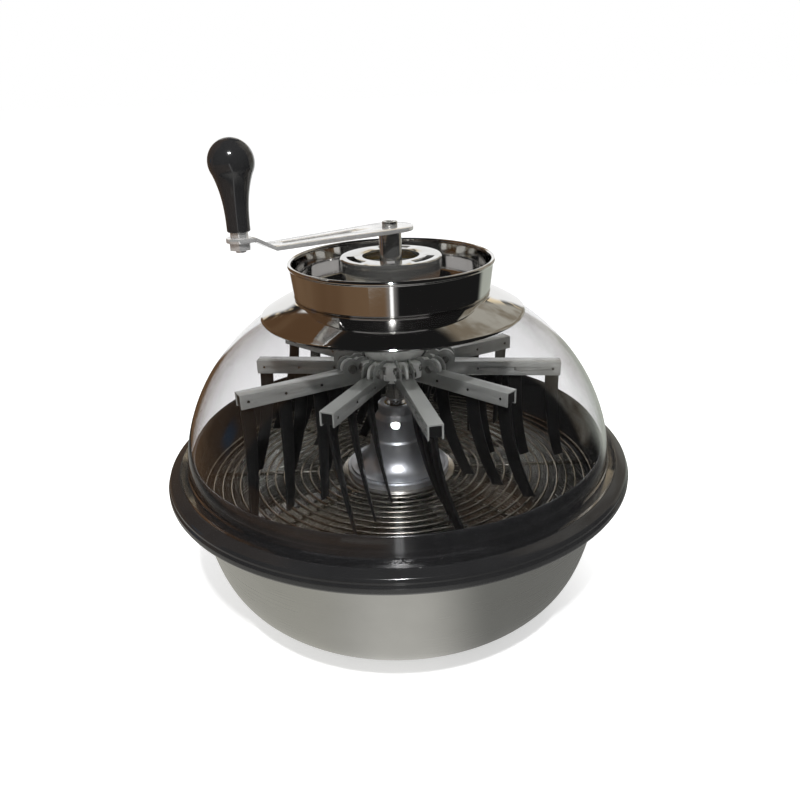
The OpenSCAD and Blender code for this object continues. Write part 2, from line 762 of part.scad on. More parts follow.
// Outline of the crank: a round hub end and a round outer end joined by their tangents
module crank_outline() {
    a = 90 - asin((crank_hub_r - crank_end_r) / crank_len);
    polygon(concat(arc([0, 0], crank_hub_r, a, 360 - a, 24),
        arc([crank_len, 0], crank_end_r, -a, a, 16)));
}

module crank_arm() {
    bend = crank_len - crank_bend;
    ramp = 16;
    groove_from = 42;
    groove_to = bend - 14;
    groove_w = 5;
    z = crank_bottom_z;
    side = [[-40, 0], [bend, 0], [bend + ramp, crank_step], [crank_len + 20, crank_step]];
    color(MIRROR) rotate([0, 0, crank_turn]) difference() {
        intersection() {
            translate([0, 0, z]) linear_extrude(crank_step + crank_t) crank_outline();
            translate([0, crank_len / 2, z]) rotate([90, 0, 0]) linear_extrude(crank_len)
                polygon(concat(side, [for (p = reversed(side)) p + [0, crank_t]]));
        }
        translate([0, 0, z - 1]) cylinder(r = crank_screw_r, h = crank_t + 2);
        translate([crank_len, 0, z]) cylinder(r = spindle_r, h = crank_step + crank_t + 1);
        translate([groove_from, -groove_w / 2, z + crank_t - 1.2])
            cube([groove_to - groove_from, groove_w, crank_t]);
        for (x = [groove_from, groove_to]) translate([x, 0, z + crank_t - 1.2])
            cylinder(d = groove_w, h = crank_t);
    }
}

module crank_screw() {
    color(STEEL) translate([0, 0, crank_bottom_z]) {
        translate([0, 0, -14]) cylinder(r = crank_screw_r, h = 14 + crank_t);
        translate([0, 0, crank_t]) difference() {
            cylinder(r = 1.7 * crank_screw_r, h = 4);
            translate([0, 0, 1.5]) cylinder(r = 0.9 * crank_screw_r, h = 4, $fn = 6);
        }
    }
}

// ---------------------------------------------------------------- rotor hub and arms

function arm_tip(i) = i % 2 == 0 ? long_arm_r : short_arm_r;

// Radius of finger k (0 outermost) on arm i
function finger_r(i, k) = arm_tip(i) - finger_w / 2 - finger_edge - k * finger_pitch;

// Side view of the two round lobes at the root of an arm, in radius and height
module lobes(r) {
    for (k = [0, 1]) translate([arm_screw_in + k * arm_screw_pitch, ear_z]) circle(r = r);
}

module standing(w) {
    translate([0, w / 2, 0]) rotate([90, 0, 0]) linear_extrude(w) children();
}

module arm_screw_holes(w) {
    for (k = [0, 1]) translate([arm_screw_in + k * arm_screw_pitch, 0, ear_z]) rotate([90, 0, 0])
        cylinder(r = arm_screw_r, h = w, center = true);
}

module rotor_hub() {
    fin_w = arm_w - 2 * arm_wall - 0.2;
    fin_z = arm_top_z + 0.2;
    color(ALUMINIUM) difference() {
        union() {
            translate([0, 0, hub_top_z - hub_h]) cylinder(r = hub_r, h = hub_h);
            around(arm_count, arm_turn) standing(fin_w) intersection() {
                union() {
                    lobes(ear_r - 1);
                    translate([0, fin_z]) square([arm_screw_in, hub_top_z - fin_z - 1]);
                }
                translate([hub_r - 5, fin_z]) square([hub_r * 2, ear_r * 2]);
            }
        }
        translate([0, 0, hub_top_z - hub_h - 1]) cylinder(r = shaft_r, h = hub_h + 2);
        translate([0, 0, hub_top_z - hub_h + 8]) rotate([90, 0, arm_turn])
            cylinder(r = pin_r, h = 3 * hub_r, center = true);
        around(arm_count, arm_turn) arm_screw_holes(arm_w);
    }
}

module hub_pin() {
    color(STEEL) translate([0, 0, hub_top_z - hub_h + 8]) rotate([90, 0, arm_turn])
        cylinder(r = pin_r, h = 2 * hub_r, center = true);
}

// An inverted U channel with two round-lobed ears rising from its walls at the root
module arm(i) {
    tip_r = arm_tip(i);
    in_w = arm_w - 2 * arm_wall;
    difference() {
        union() {
            translate([arm_root_r, -arm_w / 2, arm_top_z - arm_w])
                cube([tip_r - arm_root_r, arm_w, arm_w]);
            standing(arm_w) intersection() {
                lobes(ear_r);
                translate([arm_root_r, arm_top_z - 2]) square([ear_r * 5, ear_r * 2]);
            }
        }
        translate([arm_root_r - 1, -in_w / 2, arm_top_z - arm_w - 1])
            cube([tip_r, in_w, arm_w + 1 - arm_wall]);
        translate([arm_root_r - 1, -in_w / 2, arm_top_z]) cube([ear_r * 5, in_w, ear_r * 2]);
        arm_screw_holes(arm_w * 2);
        for (k = [0:2]) translate([finger_r(i, k), 0, arm_z]) rotate([90, 0, 0])
            cylinder(r = finger_pin_r, h = arm_w * 2, center = true);
    }
}

module long_arms() {
    color(ALUMINIUM) for (i = [0:2:arm_count - 1]) rotate([0, 0, arm_turn + i * 360 / arm_count])
        arm(i);
}

module short_arms() {
    color(ALUMINIUM) for (i = [1:2:arm_count - 1]) rotate([0, 0, arm_turn + i * 360 / arm_count])
        arm(i);
}

module arm_screws() {
    head_t = 2.6;
    color(MIRROR) around(arm_count, arm_turn) for (k = [0, 1])
        translate([arm_screw_in + k * arm_screw_pitch, arm_w / 2, ear_z]) rotate([90, 0, 0]) {
            translate([0, 0, -head_t]) cylinder(r = 2.5 * arm_screw_r, h = head_t);
            translate([0, 0, -eps]) cylinder(r = arm_screw_r - 0.05, h = arm_w + 2.8);
        }
}

module arm_nuts() {
    nut_h = 2.4;
    color(STEEL) around(arm_count, arm_turn) for (k = [0, 1])
        translate([arm_screw_in + k * arm_screw_pitch, -arm_w / 2, ear_z]) rotate([90, 0, 0])
            difference() {
                cylinder(r = 2.2 * arm_screw_r, h = nut_h, $fn = 6);
                translate([0, 0, -1]) cylinder(r = arm_screw_r, h = nut_h + 2);
            }
}

// ---------------------------------------------------------------- rubber fingers

finger_pin_r = 1.2;
finger_steps = 8;

// Four corners of a finger at fraction t of its free length, in the arm's frame
function finger_section(r, t) =
    let (
        top_z = arm_z - head_h / 2,
        centre = [r + finger_lean * t * t, finger_sweep * pow(t, 1.7),
                  top_z + (finger_end_z - top_z) * t],
        a = finger_twist * t,
        w = finger_w / 2 - t * 0.8,
        h = (finger_t - 0.8 * t) / 2)
    [for (s = [[-w, -h], [w, -h], [w, h], [-w, h]])
        centre + [s[0] * cos(a) - s[1] * sin(a), s[0] * sin(a) + s[1] * cos(a), 0]];

module finger(r) {
    n = finger_steps;
    points = [for (i = [0:n]) each finger_section(r, i / n)];
    sides = [for (i = [0:n - 1], k = [0:3])
        [4 * i + k, 4 * i + (k + 1) % 4, 4 * (i + 1) + (k + 1) % 4, 4 * (i + 1) + k]];
    triangles = [for (q = sides) each [[q[0], q[1], q[2]], [q[0], q[2], q[3]]]];
    difference() {
        union() {
            polyhedron(points, concat([[3, 2, 1], [3, 1, 0]],
                triangles, [[4 * n, 4 * n + 1, 4 * n + 2], [4 * n, 4 * n + 2, 4 * n + 3]]));
            translate([r, 0, arm_z])
                cube([finger_w, arm_w - 2 * arm_wall - 0.2, head_h], center = true);
        }
        translate([r, 0, arm_z]) rotate([90, 0, 0])
            cylinder(r = finger_pin_r, h = arm_w, center = true);
    }
}

module finger_row(k) {
    color(RUBBER) for (i = [0:arm_count - 1]) rotate([0, 0, arm_turn + i * 360 / arm_count])
        finger(finger_r(i, k));
}

module outer_fingers() { finger_row(0); }
module middle_fingers() { finger_row(1); }
module inner_fingers() { finger_row(2); }

module finger_pins() {
    color(STEEL) for (i = [0:arm_count - 1], k = [0:2]) rotate([0, 0, arm_turn + i * 360 / arm_count])
        translate([finger_r(i, k), 0, arm_z]) rotate([90, 0, 0])
            cylinder(r = finger_pin_r, h = arm_w + 0.6, center = true);
}

// ---------------------------------------------------------------- knob

module at_knob() {
    rotate([0, 0, crank_turn]) translate([crank_len, 0, 0]) children();
}

module knob_spindle() {
    color(STEEL) at_knob() {
        translate([0, 0, pad_z - spindle_nut_t - 2])
            cylinder(r = spindle_r, h = knob_z + 42 - pad_z + spindle_nut_t + 2);
        translate([0, 0, knob_z + 36]) cylinder(r = spindle_r + 0.8, h = 3);
    }
}

module knob_collar() {
    color(STEEL) at_knob() ring(knob_foot_r - 2, spindle_r, pad_z + crank_t, collar_t);
}

module knob_nut() {
    color(STEEL) at_knob() translate([0, 0, pad_z - spindle_nut_t]) difference() {
        cylinder(r = 2.2 * spindle_r, h = spindle_nut_t, $fn = 6);
        translate([0, 0, -1]) cylinder(r = spindle_r, h = spindle_nut_t + 2);
    }
}

// The stem swells into a ball: a power curve up to the join, then an arc.
function knob_stem_r(z) = knob_foot_r
    + (sqrt(pow(knob_head_r, 2) - pow(knob_centre_z - knob_join_z, 2)) - knob_foot_r)
        * pow(z / knob_join_z, 2.7);

module knob() {
    join_a = -asin((knob_centre_z - knob_join_z) / knob_head_r);
    stem = [for (i = [0:9]) let (z = knob_join_z * i / 10) [knob_stem_r(z), z]];
    head = [for (i = [0:14]) let (a = join_a + (90 - join_a) * i / 14)
        [knob_head_r * cos(a), knob_centre_z + knob_head_r * sin(a)]];
    color(BLACK) at_knob() translate([0, 0, knob_z]) difference() {
        rotate_extrude() polygon(concat([[0, 0]], stem, head));
        translate([0, 0, -1]) cylinder(r = spindle_r + run_gap, h = 44);
        translate([0, 0, 35.7]) cylinder(r = spindle_r + 1.2, h = 3.6);
    }
}

// ---------------------------------------------------------------- nodes

bowl();
rim_ring();
rim_seal();
grate();
gearbox_base();
gearbox_cover();
gearbox_screws();
ring_gear();
input_bush_lower();
input_bush_upper();
blade_shaft_bush();
input_shaft();
input_clip();
planet_carrier();
planet_pins();
planet_gear(0);  // planet_gear_1
planet_gear(1);  // planet_gear_2
planet_gear(2);  // planet_gear_3
blade_shaft();
blade_spacer();
upper_blade();
lower_blade();
blade_washer();
blade_nut();
dome();
cup();
skirt();
skirt_seal();
clamp_plate();
clamp_screws();
bearing_housing();
boss();
shaft_bush_upper();
shaft_bush_lower();
crank_shaft();
shaft_clip();
crank_arm();
crank_screw();
rotor_hub();
hub_pin();
long_arms();
short_arms();
arm_screws();
arm_nuts();
outer_fingers();
middle_fingers();
inner_fingers();
finger_pins();
knob_spindle();
knob_collar();
knob_nut();
knob();
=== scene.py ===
import bpy, bmesh, math
from mathutils import Matrix, Vector


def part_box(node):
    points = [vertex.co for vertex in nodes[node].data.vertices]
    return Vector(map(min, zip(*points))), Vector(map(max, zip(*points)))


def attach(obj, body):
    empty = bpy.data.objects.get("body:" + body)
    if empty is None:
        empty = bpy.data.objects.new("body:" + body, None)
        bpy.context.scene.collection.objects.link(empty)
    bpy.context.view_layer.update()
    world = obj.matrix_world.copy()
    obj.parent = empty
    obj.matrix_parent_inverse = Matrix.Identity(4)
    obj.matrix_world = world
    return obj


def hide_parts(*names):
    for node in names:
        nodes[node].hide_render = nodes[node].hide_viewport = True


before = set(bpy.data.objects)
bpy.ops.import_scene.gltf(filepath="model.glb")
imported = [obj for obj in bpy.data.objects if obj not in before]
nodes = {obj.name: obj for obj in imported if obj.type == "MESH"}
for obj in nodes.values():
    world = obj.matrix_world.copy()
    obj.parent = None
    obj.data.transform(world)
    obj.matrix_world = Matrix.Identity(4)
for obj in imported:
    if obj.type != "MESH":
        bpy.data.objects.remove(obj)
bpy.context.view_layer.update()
MM = 0.001


# ------------------------------------------------------------------ camera
# The camera stands in front of the crank's shaft, a little above the knob,
# and looks down on the grate.

camera = bpy.data.objects.new("camera", bpy.data.cameras.new("camera"))
bpy.context.scene.collection.objects.link(camera)
bpy.context.scene.camera = camera
camera.data.lens = 33.75
camera.data.sensor_width = 36
camera.data.clip_start = 0.01
pitch, yaw, roll = math.radians(22.87), math.radians(0.33), math.radians(-1.95)
forward = Vector((math.sin(yaw) * math.cos(pitch), math.cos(yaw) * math.cos(pitch), -math.sin(pitch)))
level = Vector((math.cos(yaw), -math.sin(yaw), 0))
above = level.cross(forward)
across = level * math.cos(roll) + above * math.sin(roll)
upright = above * math.cos(roll) - level * math.sin(roll)
stand = Matrix.Translation((0, -0.6671, 0.4843))
camera.matrix_world = stand @ Matrix((across, upright, -forward)).transposed().to_4x4()


# ------------------------------------------------------------------ studio
# A white surround and a pale floor. A small lamp in front gives the sharp
# glints, and a wide one above, which no mirror shows, gives the soft shade.

scene = bpy.context.scene
scene.view_settings.view_transform = "Standard"


def math_node(tree, operation, a, b=None, c=None, clamp=False):
    """Adds a sum; each term is a socket to link or a number to set."""
    node = tree.nodes.new("ShaderNodeMath")
    node.operation = operation
    node.use_clamp = clamp
    for index, term in enumerate((a, b, c)):
        if isinstance(term, bpy.types.NodeSocket):
            tree.links.new(term, node.inputs[index])
        elif term is not None:
            node.inputs[index].default_value = term
    return node.outputs[0]


surround = bpy.data.worlds.new("surround")
scene.world = surround
surround.use_nodes = True
tree = surround.node_tree
tree.nodes.clear()
lights_up, seen_white, pick, out = (tree.nodes.new("ShaderNodeBackground"), tree.nodes.new("ShaderNodeBackground"),
                                    tree.nodes.new("ShaderNodeMixShader"), tree.nodes.new("ShaderNodeOutputWorld"))
for background, strength in ((lights_up, 0.62), (seen_white, 1.0)):
    background.inputs["Color"].default_value = (1, 1, 1, 1)
    background.inputs["Strength"].default_value = strength
rays = tree.nodes.new("ShaderNodeLightPath").outputs
looked_at = math_node(tree, "MAXIMUM", rays["Is Camera Ray"], rays["Is Glossy Ray"])
tree.links.new(math_node(tree, "MAXIMUM", looked_at, rays["Is Transmission Ray"]), pick.inputs[0])
tree.links.new(lights_up.outputs[0], pick.inputs[1])
tree.links.new(seen_white.outputs[0], pick.inputs[2])
tree.links.new(pick.outputs[0], out.inputs[0])


def studio_lamp(name, place, size, power, mirrored):
    """A round lamp that points at the middle of the object."""
    lamp = bpy.data.objects.new(name, bpy.data.lights.new(name, "AREA"))
    lamp.data.shape = "DISK"
    lamp.data.size = size
    lamp.visible_glossy = lamp.visible_transmission = mirrored
    lamp.data.energy = power
    lamp.location = place
    lamp.rotation_mode = "QUATERNION"
    lamp.rotation_quaternion = (Vector((0, 0, 0.2)) - Vector(place)).to_track_quat("-Z", "Y")
    scene.collection.objects.link(lamp)


studio_lamp("front_lamp", (-0.02, -1.12, 1.52), 0.12, 26, True)
studio_lamp("top_lamp", (0.6, 0.45, 1.9), 1.3, 15, False)

floor_half = 30
mesh = bpy.data.meshes.new("floor")
mesh.from_pydata([(x * floor_half, y * floor_half, 0) for x, y in ((-1, -1), (1, -1), (1, 1), (-1, 1))], [],
                 [(0, 1, 2, 3)])
floor = bpy.data.objects.new("floor", mesh)
scene.collection.objects.link(floor)
floor_paint = bpy.data.materials.new("floor paint")
floor_paint.use_nodes = True
tree = floor_paint.node_tree
tree.nodes.clear()
matt, lift, both, out = (tree.nodes.new("ShaderNodeBsdfDiffuse"), tree.nodes.new("ShaderNodeEmission"),
                         tree.nodes.new("ShaderNodeAddShader"), tree.nodes.new("ShaderNodeOutputMaterial"))
matt.inputs["Color"].default_value = (0.9, 0.9, 0.9, 1)
lift_strength = 0.45
rays = tree.nodes.new("ShaderNodeLightPath").outputs
tree.links.new(math_node(tree, "MULTIPLY", rays["Is Camera Ray"], lift_strength), lift.inputs["Strength"])
tree.links.new(matt.outputs[0], both.inputs[0])
tree.links.new(lift.outputs[0], both.inputs[1])
tree.links.new(both.outputs[0], out.inputs[0])
floor.data.materials.append(floor_paint)


# ------------------------------------------------------------------ painted screen
# A round screen that only mirrored light sees stands far out round the object:
# wood on the left, blinds on the right, white behind, and dark elsewhere.

def noise_node(tree, vector, scale, detail, rough):
    """Adds soft noise, from 0 to 1, over a vector."""
    node = tree.nodes.new("ShaderNodeTexNoise")
    node.inputs["Detail"].default_value = detail
    node.inputs["Roughness"].default_value = rough
    tree.links.new(vector, node.inputs["Vector"])
    if isinstance(scale, bpy.types.NodeSocket):
        tree.links.new(scale, node.inputs["Scale"])
    else:
        node.inputs["Scale"].default_value = scale
    return node.outputs[0]


def soft_step(tree, value, low, high):
    """Goes smoothly from 0 at low to 1 at high."""
    node = tree.nodes.new("ShaderNodeMapRange")
    node.interpolation_type = "SMOOTHSTEP"
    tree.links.new(value, node.inputs["Value"])
    node.inputs["From Min"].default_value, node.inputs["From Max"].default_value = low, high
    return node.outputs[0]


def colour_mix(tree, factor, a, b):
    """Goes from tone a at factor 0 to tone b at 1."""
    node = tree.nodes.new("ShaderNodeMix")
    node.data_type = "RGBA"
    for socket, value in ((node.inputs["Factor"], factor), (node.inputs["A"], a), (node.inputs["B"], b)):
        if isinstance(value, bpy.types.NodeSocket):
            tree.links.new(value, socket)
        else:
            socket.default_value = (*value, 1)
    return node.outputs["Result"]


def axis_distance(tree, x, y):
    """The distance from the upright axis."""
    return math_node(tree, "SQRT", math_node(tree, "ADD", math_node(tree, "MULTIPLY", x, x),
                                             math_node(tree, "MULTIPLY", y, y)))


screen_paint = bpy.data.materials.new("screen paint")
screen_paint.use_nodes = True
tree = screen_paint.node_tree
tree.nodes.clear()
where = tree.nodes.new("ShaderNodeTexCoord").outputs["Object"]
split = tree.nodes.new("ShaderNodeSeparateXYZ")
tree.links.new(where, split.inputs[0])
x, y, z = split.outputs
out_r = axis_distance(tree, x, y)
degrees, middle_z = 180 / math.pi, 0.25
around_angle = math_node(tree, "MULTIPLY", math_node(tree, "ARCTAN2", x, math_node(tree, "MULTIPLY", y, -1)), degrees)
height_angle = math_node(tree, "MULTIPLY", math_node(
    tree, "ARCTAN2", math_node(tree, "SUBTRACT", z, middle_z), out_r), degrees)


def patch(colour, tone, left, right, low, high, soft=2.0):
    """Lays a tone between two angles round the object and two angles above its middle."""
    sides = math_node(tree, "MULTIPLY", soft_step(tree, around_angle, left - soft, left + soft),
                      soft_step(tree, around_angle, right + soft, right - soft))
    levels = math_node(tree, "MULTIPLY", soft_step(tree, height_angle, low - 2 * soft, low + 2 * soft),
                       soft_step(tree, height_angle, high + 2 * soft, high - 2 * soft))
    return colour_mix(tree, math_node(tree, "MULTIPLY", sides, levels), colour, tone)


def spots(scale, low, high, dark, light):
    """Two tones in patches; a narrow step from low to high gives them hard edges."""
    return colour_mix(tree, soft_step(tree, noise_node(tree, where, scale, 3, 0.6), low, high), dark, light)


wood = spots(0.55, 0.38, 0.62, (0.105, 0.058, 0.030), (0.165, 0.102, 0.058))
blinds = spots(1.5, 0.40, 0.60, (0.21, 0.175, 0.13), (0.42, 0.40, 0.35))
gold = spots(4.5, 0.49, 0.57, (0.02, 0.018, 0.016), (0.90, 0.74, 0.50))

# Each row is a tone, its left, right, low and high angle, and the softness of
# its edge. 0 is in front, and -90 at the left; behind and down lie past the ends.
behind, down = 205, -95
tone = (0.012, 0.012, 0.012)
for light, left, right, low, high, soft in (
        (wood, -161, -2, -21.4, -3, 0.5),
        (wood, -163, -84, -9, 60, 2),
        (blinds, 106, 166, -9, 62, 2),
        ((0.44, 0.46, 0.41), 116, 166, down, -3, 6),
        (gold, -behind, -150, 10, 29, 2),
        (gold, 152, behind, 10, 29, 2),
        ((0.85, 0.85, 0.84), -behind, -150, 30.5, 37, 1),
        ((0.30, 0.30, 0.30), 152, 177, 30.5, 37, 1),
        ((1.0, 1.0, 1.0), -behind, -152, down, 21, 1.5),
        ((1.0, 1.0, 1.0), 154, behind, down, 21, 1.5),
        ((0.36, 0.33, 0.29), -25, -5, -18.9, -16.4, 0.2),
        ((0.26, 0.25, 0.24), -5, 4, down, -3, 4),
        ((1.4, 1.4, 1.4), -2.4, 1.0, down, 0, 1),
        ((0.05, 0.10, 0.18), -104, -96, 2, 12, 2)):
    tone = patch(tone, light, left, right, low, high, soft)

# The floor close round the base is paler at the left and the front.
near_floor = patch((0.23, 0.23, 0.22), (0.49, 0.48, 0.44), -170, -18, down, -down, 16)
near_floor = patch(near_floor, (0.64, 0.63, 0.60), -20, 18, down, -down, 14)
is_near, is_low = soft_step(tree, out_r, 0.60, 0.40), soft_step(tree, z, 0.05, 0.01)
tone = colour_mix(tree, math_node(tree, "MULTIPLY", is_near, is_low), tone, near_floor)

# A mirror that is seen in a mirror, as inside the cup, shows a pale front.
mirrors = tree.nodes.new("ShaderNodeLightPath").outputs["Glossy Depth"]
front = patch((0.0, 0.0, 0.0), (1.0, 1.0, 1.0), -48, 40, 8, 26, 3)
tone = colour_mix(tree, math_node(tree, "MULTIPLY", front, math_node(tree, "GREATER_THAN", mirrors, 1.5)), tone,
                  (0.55, 0.54, 0.55))

glow, clear, pick, out = (tree.nodes.new("ShaderNodeEmission"), tree.nodes.new("ShaderNodeBsdfTransparent"),
                          tree.nodes.new("ShaderNodeMixShader"), tree.nodes.new("ShaderNodeOutputMaterial"))
tree.links.new(tone, glow.inputs["Color"])
tree.links.new(math_node(tree, "GREATER_THAN", mirrors, 0.5), pick.inputs[0])
tree.links.new(clear.outputs[0], pick.inputs[1])
tree.links.new(glow.outputs[0], pick.inputs[2])
tree.links.new(pick.outputs[0], out.inputs[0])

screen_r, screen_steps, screen_z = 2.6, 72, 0.003
profile = [(r, screen_z) for r in (0.13, 0.30, 0.55, 1.0, screen_r)] + [
    (screen_r * math.cos(math.radians(a)), screen_z + screen_r * math.sin(math.radians(a)))
    for a in range(6, 85, 6)] + [(0.02, screen_z + screen_r)]
points = [(r * math.cos(2 * math.pi * i / screen_steps), r * math.sin(2 * math.pi * i / screen_steps), z)
          for r, z in profile for i in range(screen_steps)]
faces = [(k * screen_steps + i, k * screen_steps + (i + 1) % screen_steps,
          (k + 1) * screen_steps + (i + 1) % screen_steps, (k + 1) * screen_steps + i)
         for k in range(len(profile) - 1) for i in range(screen_steps)]
mesh = bpy.data.meshes.new("painted_screen")
mesh.from_pydata(points, [], faces)
mesh.materials.append(screen_paint)
screen = bpy.data.objects.new("painted_screen", mesh)
scene.collection.objects.link(screen)
screen.visible_camera = screen.visible_diffuse = screen.visible_shadow = screen.visible_volume_scatter = False


# ------------------------------------------------------------------ finishes shared by several pieces
# Two surface effects: the fine marks and haze that handling leaves, and the
# rings that spinning or turning leaves round an axis.

def new_group(name, takes, gives):
    """An empty shader group with named inputs and outputs."""
    group = bpy.data.node_groups.new(name, "ShaderNodeTree")
    for label, kind, value in takes:
        socket = group.interface.new_socket(label, in_out="INPUT", socket_type=kind)
        socket.default_value = value
    for label, kind in gives:
        group.interface.new_socket(label, in_out="OUTPUT", socket_type=kind)
    return group, group.nodes.new("NodeGroupInput"), group.nodes.new("NodeGroupOutput")


handling, took, gave = new_group(
    "Handling marks",
    [("Light", "NodeSocketColor", (1, 1, 1, 1)), ("Dark", "NodeSocketColor", (0, 0, 0, 1)),
     ("Size", "NodeSocketFloat", 40.0), ("Roughness", "NodeSocketFloat", 0.3), ("Haze", "NodeSocketFloat", 0.1)],
    [("Colour", "NodeSocketColor"), ("Roughness", "NodeSocketFloat"), ("Height", "NodeSocketFloat")])
contrast, darkest, fine_scale, mean_cloud = 1.6, -0.3, 22, 0.45
spot = handling.nodes.new("ShaderNodeTexCoord").outputs["Object"]
clouds = noise_node(handling, spot, took.outputs["Size"], 4, 0.6)
fine = noise_node(handling, spot, math_node(handling, "MULTIPLY", took.outputs["Size"], fine_scale), 2, 0.6)
marks = handling.nodes.new("ShaderNodeMix")
marks.data_type = "RGBA"
handling.links.new(math_node(handling, "MULTIPLY_ADD", clouds, contrast, darkest, clamp=True), marks.inputs["Factor"])
handling.links.new(took.outputs["Light"], marks.inputs["A"])
handling.links.new(took.outputs["Dark"], marks.inputs["B"])
handling.links.new(marks.outputs["Result"], gave.inputs["Colour"])
spread = math_node(handling, "MULTIPLY", math_node(handling, "SUBTRACT", clouds, mean_cloud), took.outputs["Haze"])
handling.links.new(math_node(handling, "ADD", took.outputs["Roughness"], spread, clamp=True), gave.inputs["Roughness"])
handling.links.new(fine, gave.inputs["Height"])

turning, took, gave = new_group(
    "Turning rings",
    [("Pitch", "NodeSocketFloat", 0.001)],
    [("Rings", "NodeSocketFloat")])
split = turning.nodes.new("ShaderNodeSeparateXYZ")
turning.links.new(turning.nodes.new("ShaderNodeTexCoord").outputs["Object"], split.inputs[0])
x, y, z = split.outputs
angle = math_node(turning, "ARCTAN2", y, x)
ring_number = math_node(turning, "DIVIDE", math_node(turning, "ADD", z, axis_distance(turning, x, y)),
                        took.outputs["Pitch"])
wrap = turning.nodes.new("ShaderNodeCombineXYZ")
turning.links.new(math_node(turning, "COSINE", angle), wrap.inputs[0])
turning.links.new(math_node(turning, "SINE", angle), wrap.inputs[1])
turning.links.new(ring_number, wrap.inputs[2])
turning.links.new(noise_node(turning, wrap.outputs[0], 1.0, 2, 0.6), gave.inputs["Rings"])


def handled(tree, light, dark, size, roughness, haze):
    """Adds the handling marks' group, set to its two tones and its sizes."""
    marks = tree.nodes.new("ShaderNodeGroup")
    marks.node_tree = handling
    marks.inputs["Light"].default_value = (*light, 1)
    marks.inputs["Dark"].default_value = (*dark, 1)
    marks.inputs["Size"].default_value = size
    marks.inputs["Roughness"].default_value = roughness
    marks.inputs["Haze"].default_value = haze
    return marks.outputs


def finish_of(name, light, dark, roughness, haze, size=40.0, metallic=0.0, bump=0.05, depth=0.0002,
              rings=None, **constants):
    """A finish with handling marks, and with turning rings where a pitch for them is given."""
    paint = bpy.data.materials.new(name)
    paint.use_nodes = True
    tree = paint.node_tree
    tree.nodes.clear()
    out, shader = tree.nodes.new("ShaderNodeOutputMaterial"), tree.nodes.new("ShaderNodeBsdfPrincipled")
    tree.links.new(shader.outputs[0], out.inputs[0])
    shader.inputs["Metallic"].default_value = metallic
    for socket, value in constants.items():
        shader.inputs[socket.replace("_", " ")].default_value = value
    marks = handled(tree, light, dark, size, roughness, haze)
    tree.links.new(marks["Colour"], shader.inputs["Base Color"])
    bumps = tree.nodes.new("ShaderNodeBump")
    bumps.inputs["Strength"].default_value = bump
    bumps.inputs["Distance"].default_value = depth
    height, rough = marks["Height"], marks["Roughness"]
    if rings:
        lathe_marks = tree.nodes.new("ShaderNodeGroup")
        lathe_marks.node_tree = turning
        lathe_marks.inputs["Pitch"].default_value = rings
        ridges = lathe_marks.outputs["Rings"]
        marks_share, mean_ridge = 0.25, 0.5
        height = math_node(tree, "ADD", math_node(tree, "MULTIPLY", height, marks_share), ridges)
        rough = math_node(tree, "ADD", rough, math_node(
            tree, "MULTIPLY", math_node(tree, "SUBTRACT", ridges, mean_ridge), haze), clamp=True)
    tree.links.new(height, bumps.inputs["Height"])
    tree.links.new(bumps.outputs[0], shader.inputs["Normal"])
    tree.links.new(rough, shader.inputs["Roughness"])
    return paint


# ------------------------------------------------------------------ bowl
# Deep drawn stainless steel, 1.5 mm thick, with a flange turned out at the
# mouth. It is spun and brushed outside, so fine rings run round it.

def mesh_of(work, name, sharp_angle=None):
    """A mesh of the worked shape, with its faces turned outward."""
    bmesh.ops.recalc_face_normals(work, faces=work.faces)
    mesh = bpy.data.meshes.new(name)
    work.to_mesh(mesh)
    work.free()
    if sharp_angle:
        mesh.shade_smooth()
        mesh.set_sharp_from_angle(angle=math.radians(sharp_angle))
    return mesh


def lathe(name, profile, paint, steps=160, centre=(0, 0), bevel=0.0, angle=25):
    """Turns a closed profile of (radius, height) points in millimetres round an upright axis."""
    work = bmesh.new()
    rows = []
    for r, z in profile:
        if r < 1e-6:
            rows.append([work.verts.new((centre[0] * MM, centre[1] * MM, z * MM))] * steps)
            continue
        rows.append([work.verts.new(((centre[0] + r * math.cos(2 * math.pi * i / steps)) * MM,
                                     (centre[1] + r * math.sin(2 * math.pi * i / steps)) * MM, z * MM))
                     for i in range(steps)])
    for k in range(len(rows)):
        a, b = rows[k], rows[(k + 1) % len(rows)]
        for i in range(steps):
            j = (i + 1) % steps
            corners = []
            for v in (a[i], a[j], b[j], b[i]):
                if v not in corners:
                    corners.append(v)
            if len(corners) > 2:
                work.faces.new(corners)
    mesh = mesh_of(work, name)
    mesh.materials.append(paint)
    made = bpy.data.objects.new(name, mesh)
    scene.collection.objects.link(made)
    return soften(made, bevel, angle)


def soften(piece, bevel=0.0, angle=25, segments=3):
    """Rounds the edges sharper than the angle and shades the rest smooth."""
    piece.data.shade_smooth()
    if bevel:
        rounding = piece.modifiers.new("rounding", "BEVEL")
        rounding.width = bevel * MM
        rounding.segments = segments
        rounding.limit_method = "ANGLE"
        rounding.angle_limit = math.radians(angle)
        rounding.use_clamp_overlap = True
        piece.data = settled(piece)
    piece.data.set_sharp_from_angle(angle=math.radians(angle + 10))
    return piece


def settled(piece):
    """The piece's mesh with its modifiers worked in; the modifiers are taken off."""
    bpy.context.view_layer.update()
    mesh = bpy.data.meshes.new_from_object(piece.evaluated_get(bpy.context.evaluated_depsgraph_get()))
    mesh.name = piece.name
    piece.modifiers.clear()
    return mesh


spun_steel = finish_of("spun steel", (0.62, 0.62, 0.60), (0.50, 0.50, 0.48), 0.24, 0.14, size=9, metallic=1.0,
                       bump=0.25, depth=0.0002, rings=0.0009, Anisotropic=0.55)


bowl_foot_r, bowl_mouth_r, bowl_flange_z, bowl_gauge, wall_lean = 105, 200, 137.2, 1.5, 26


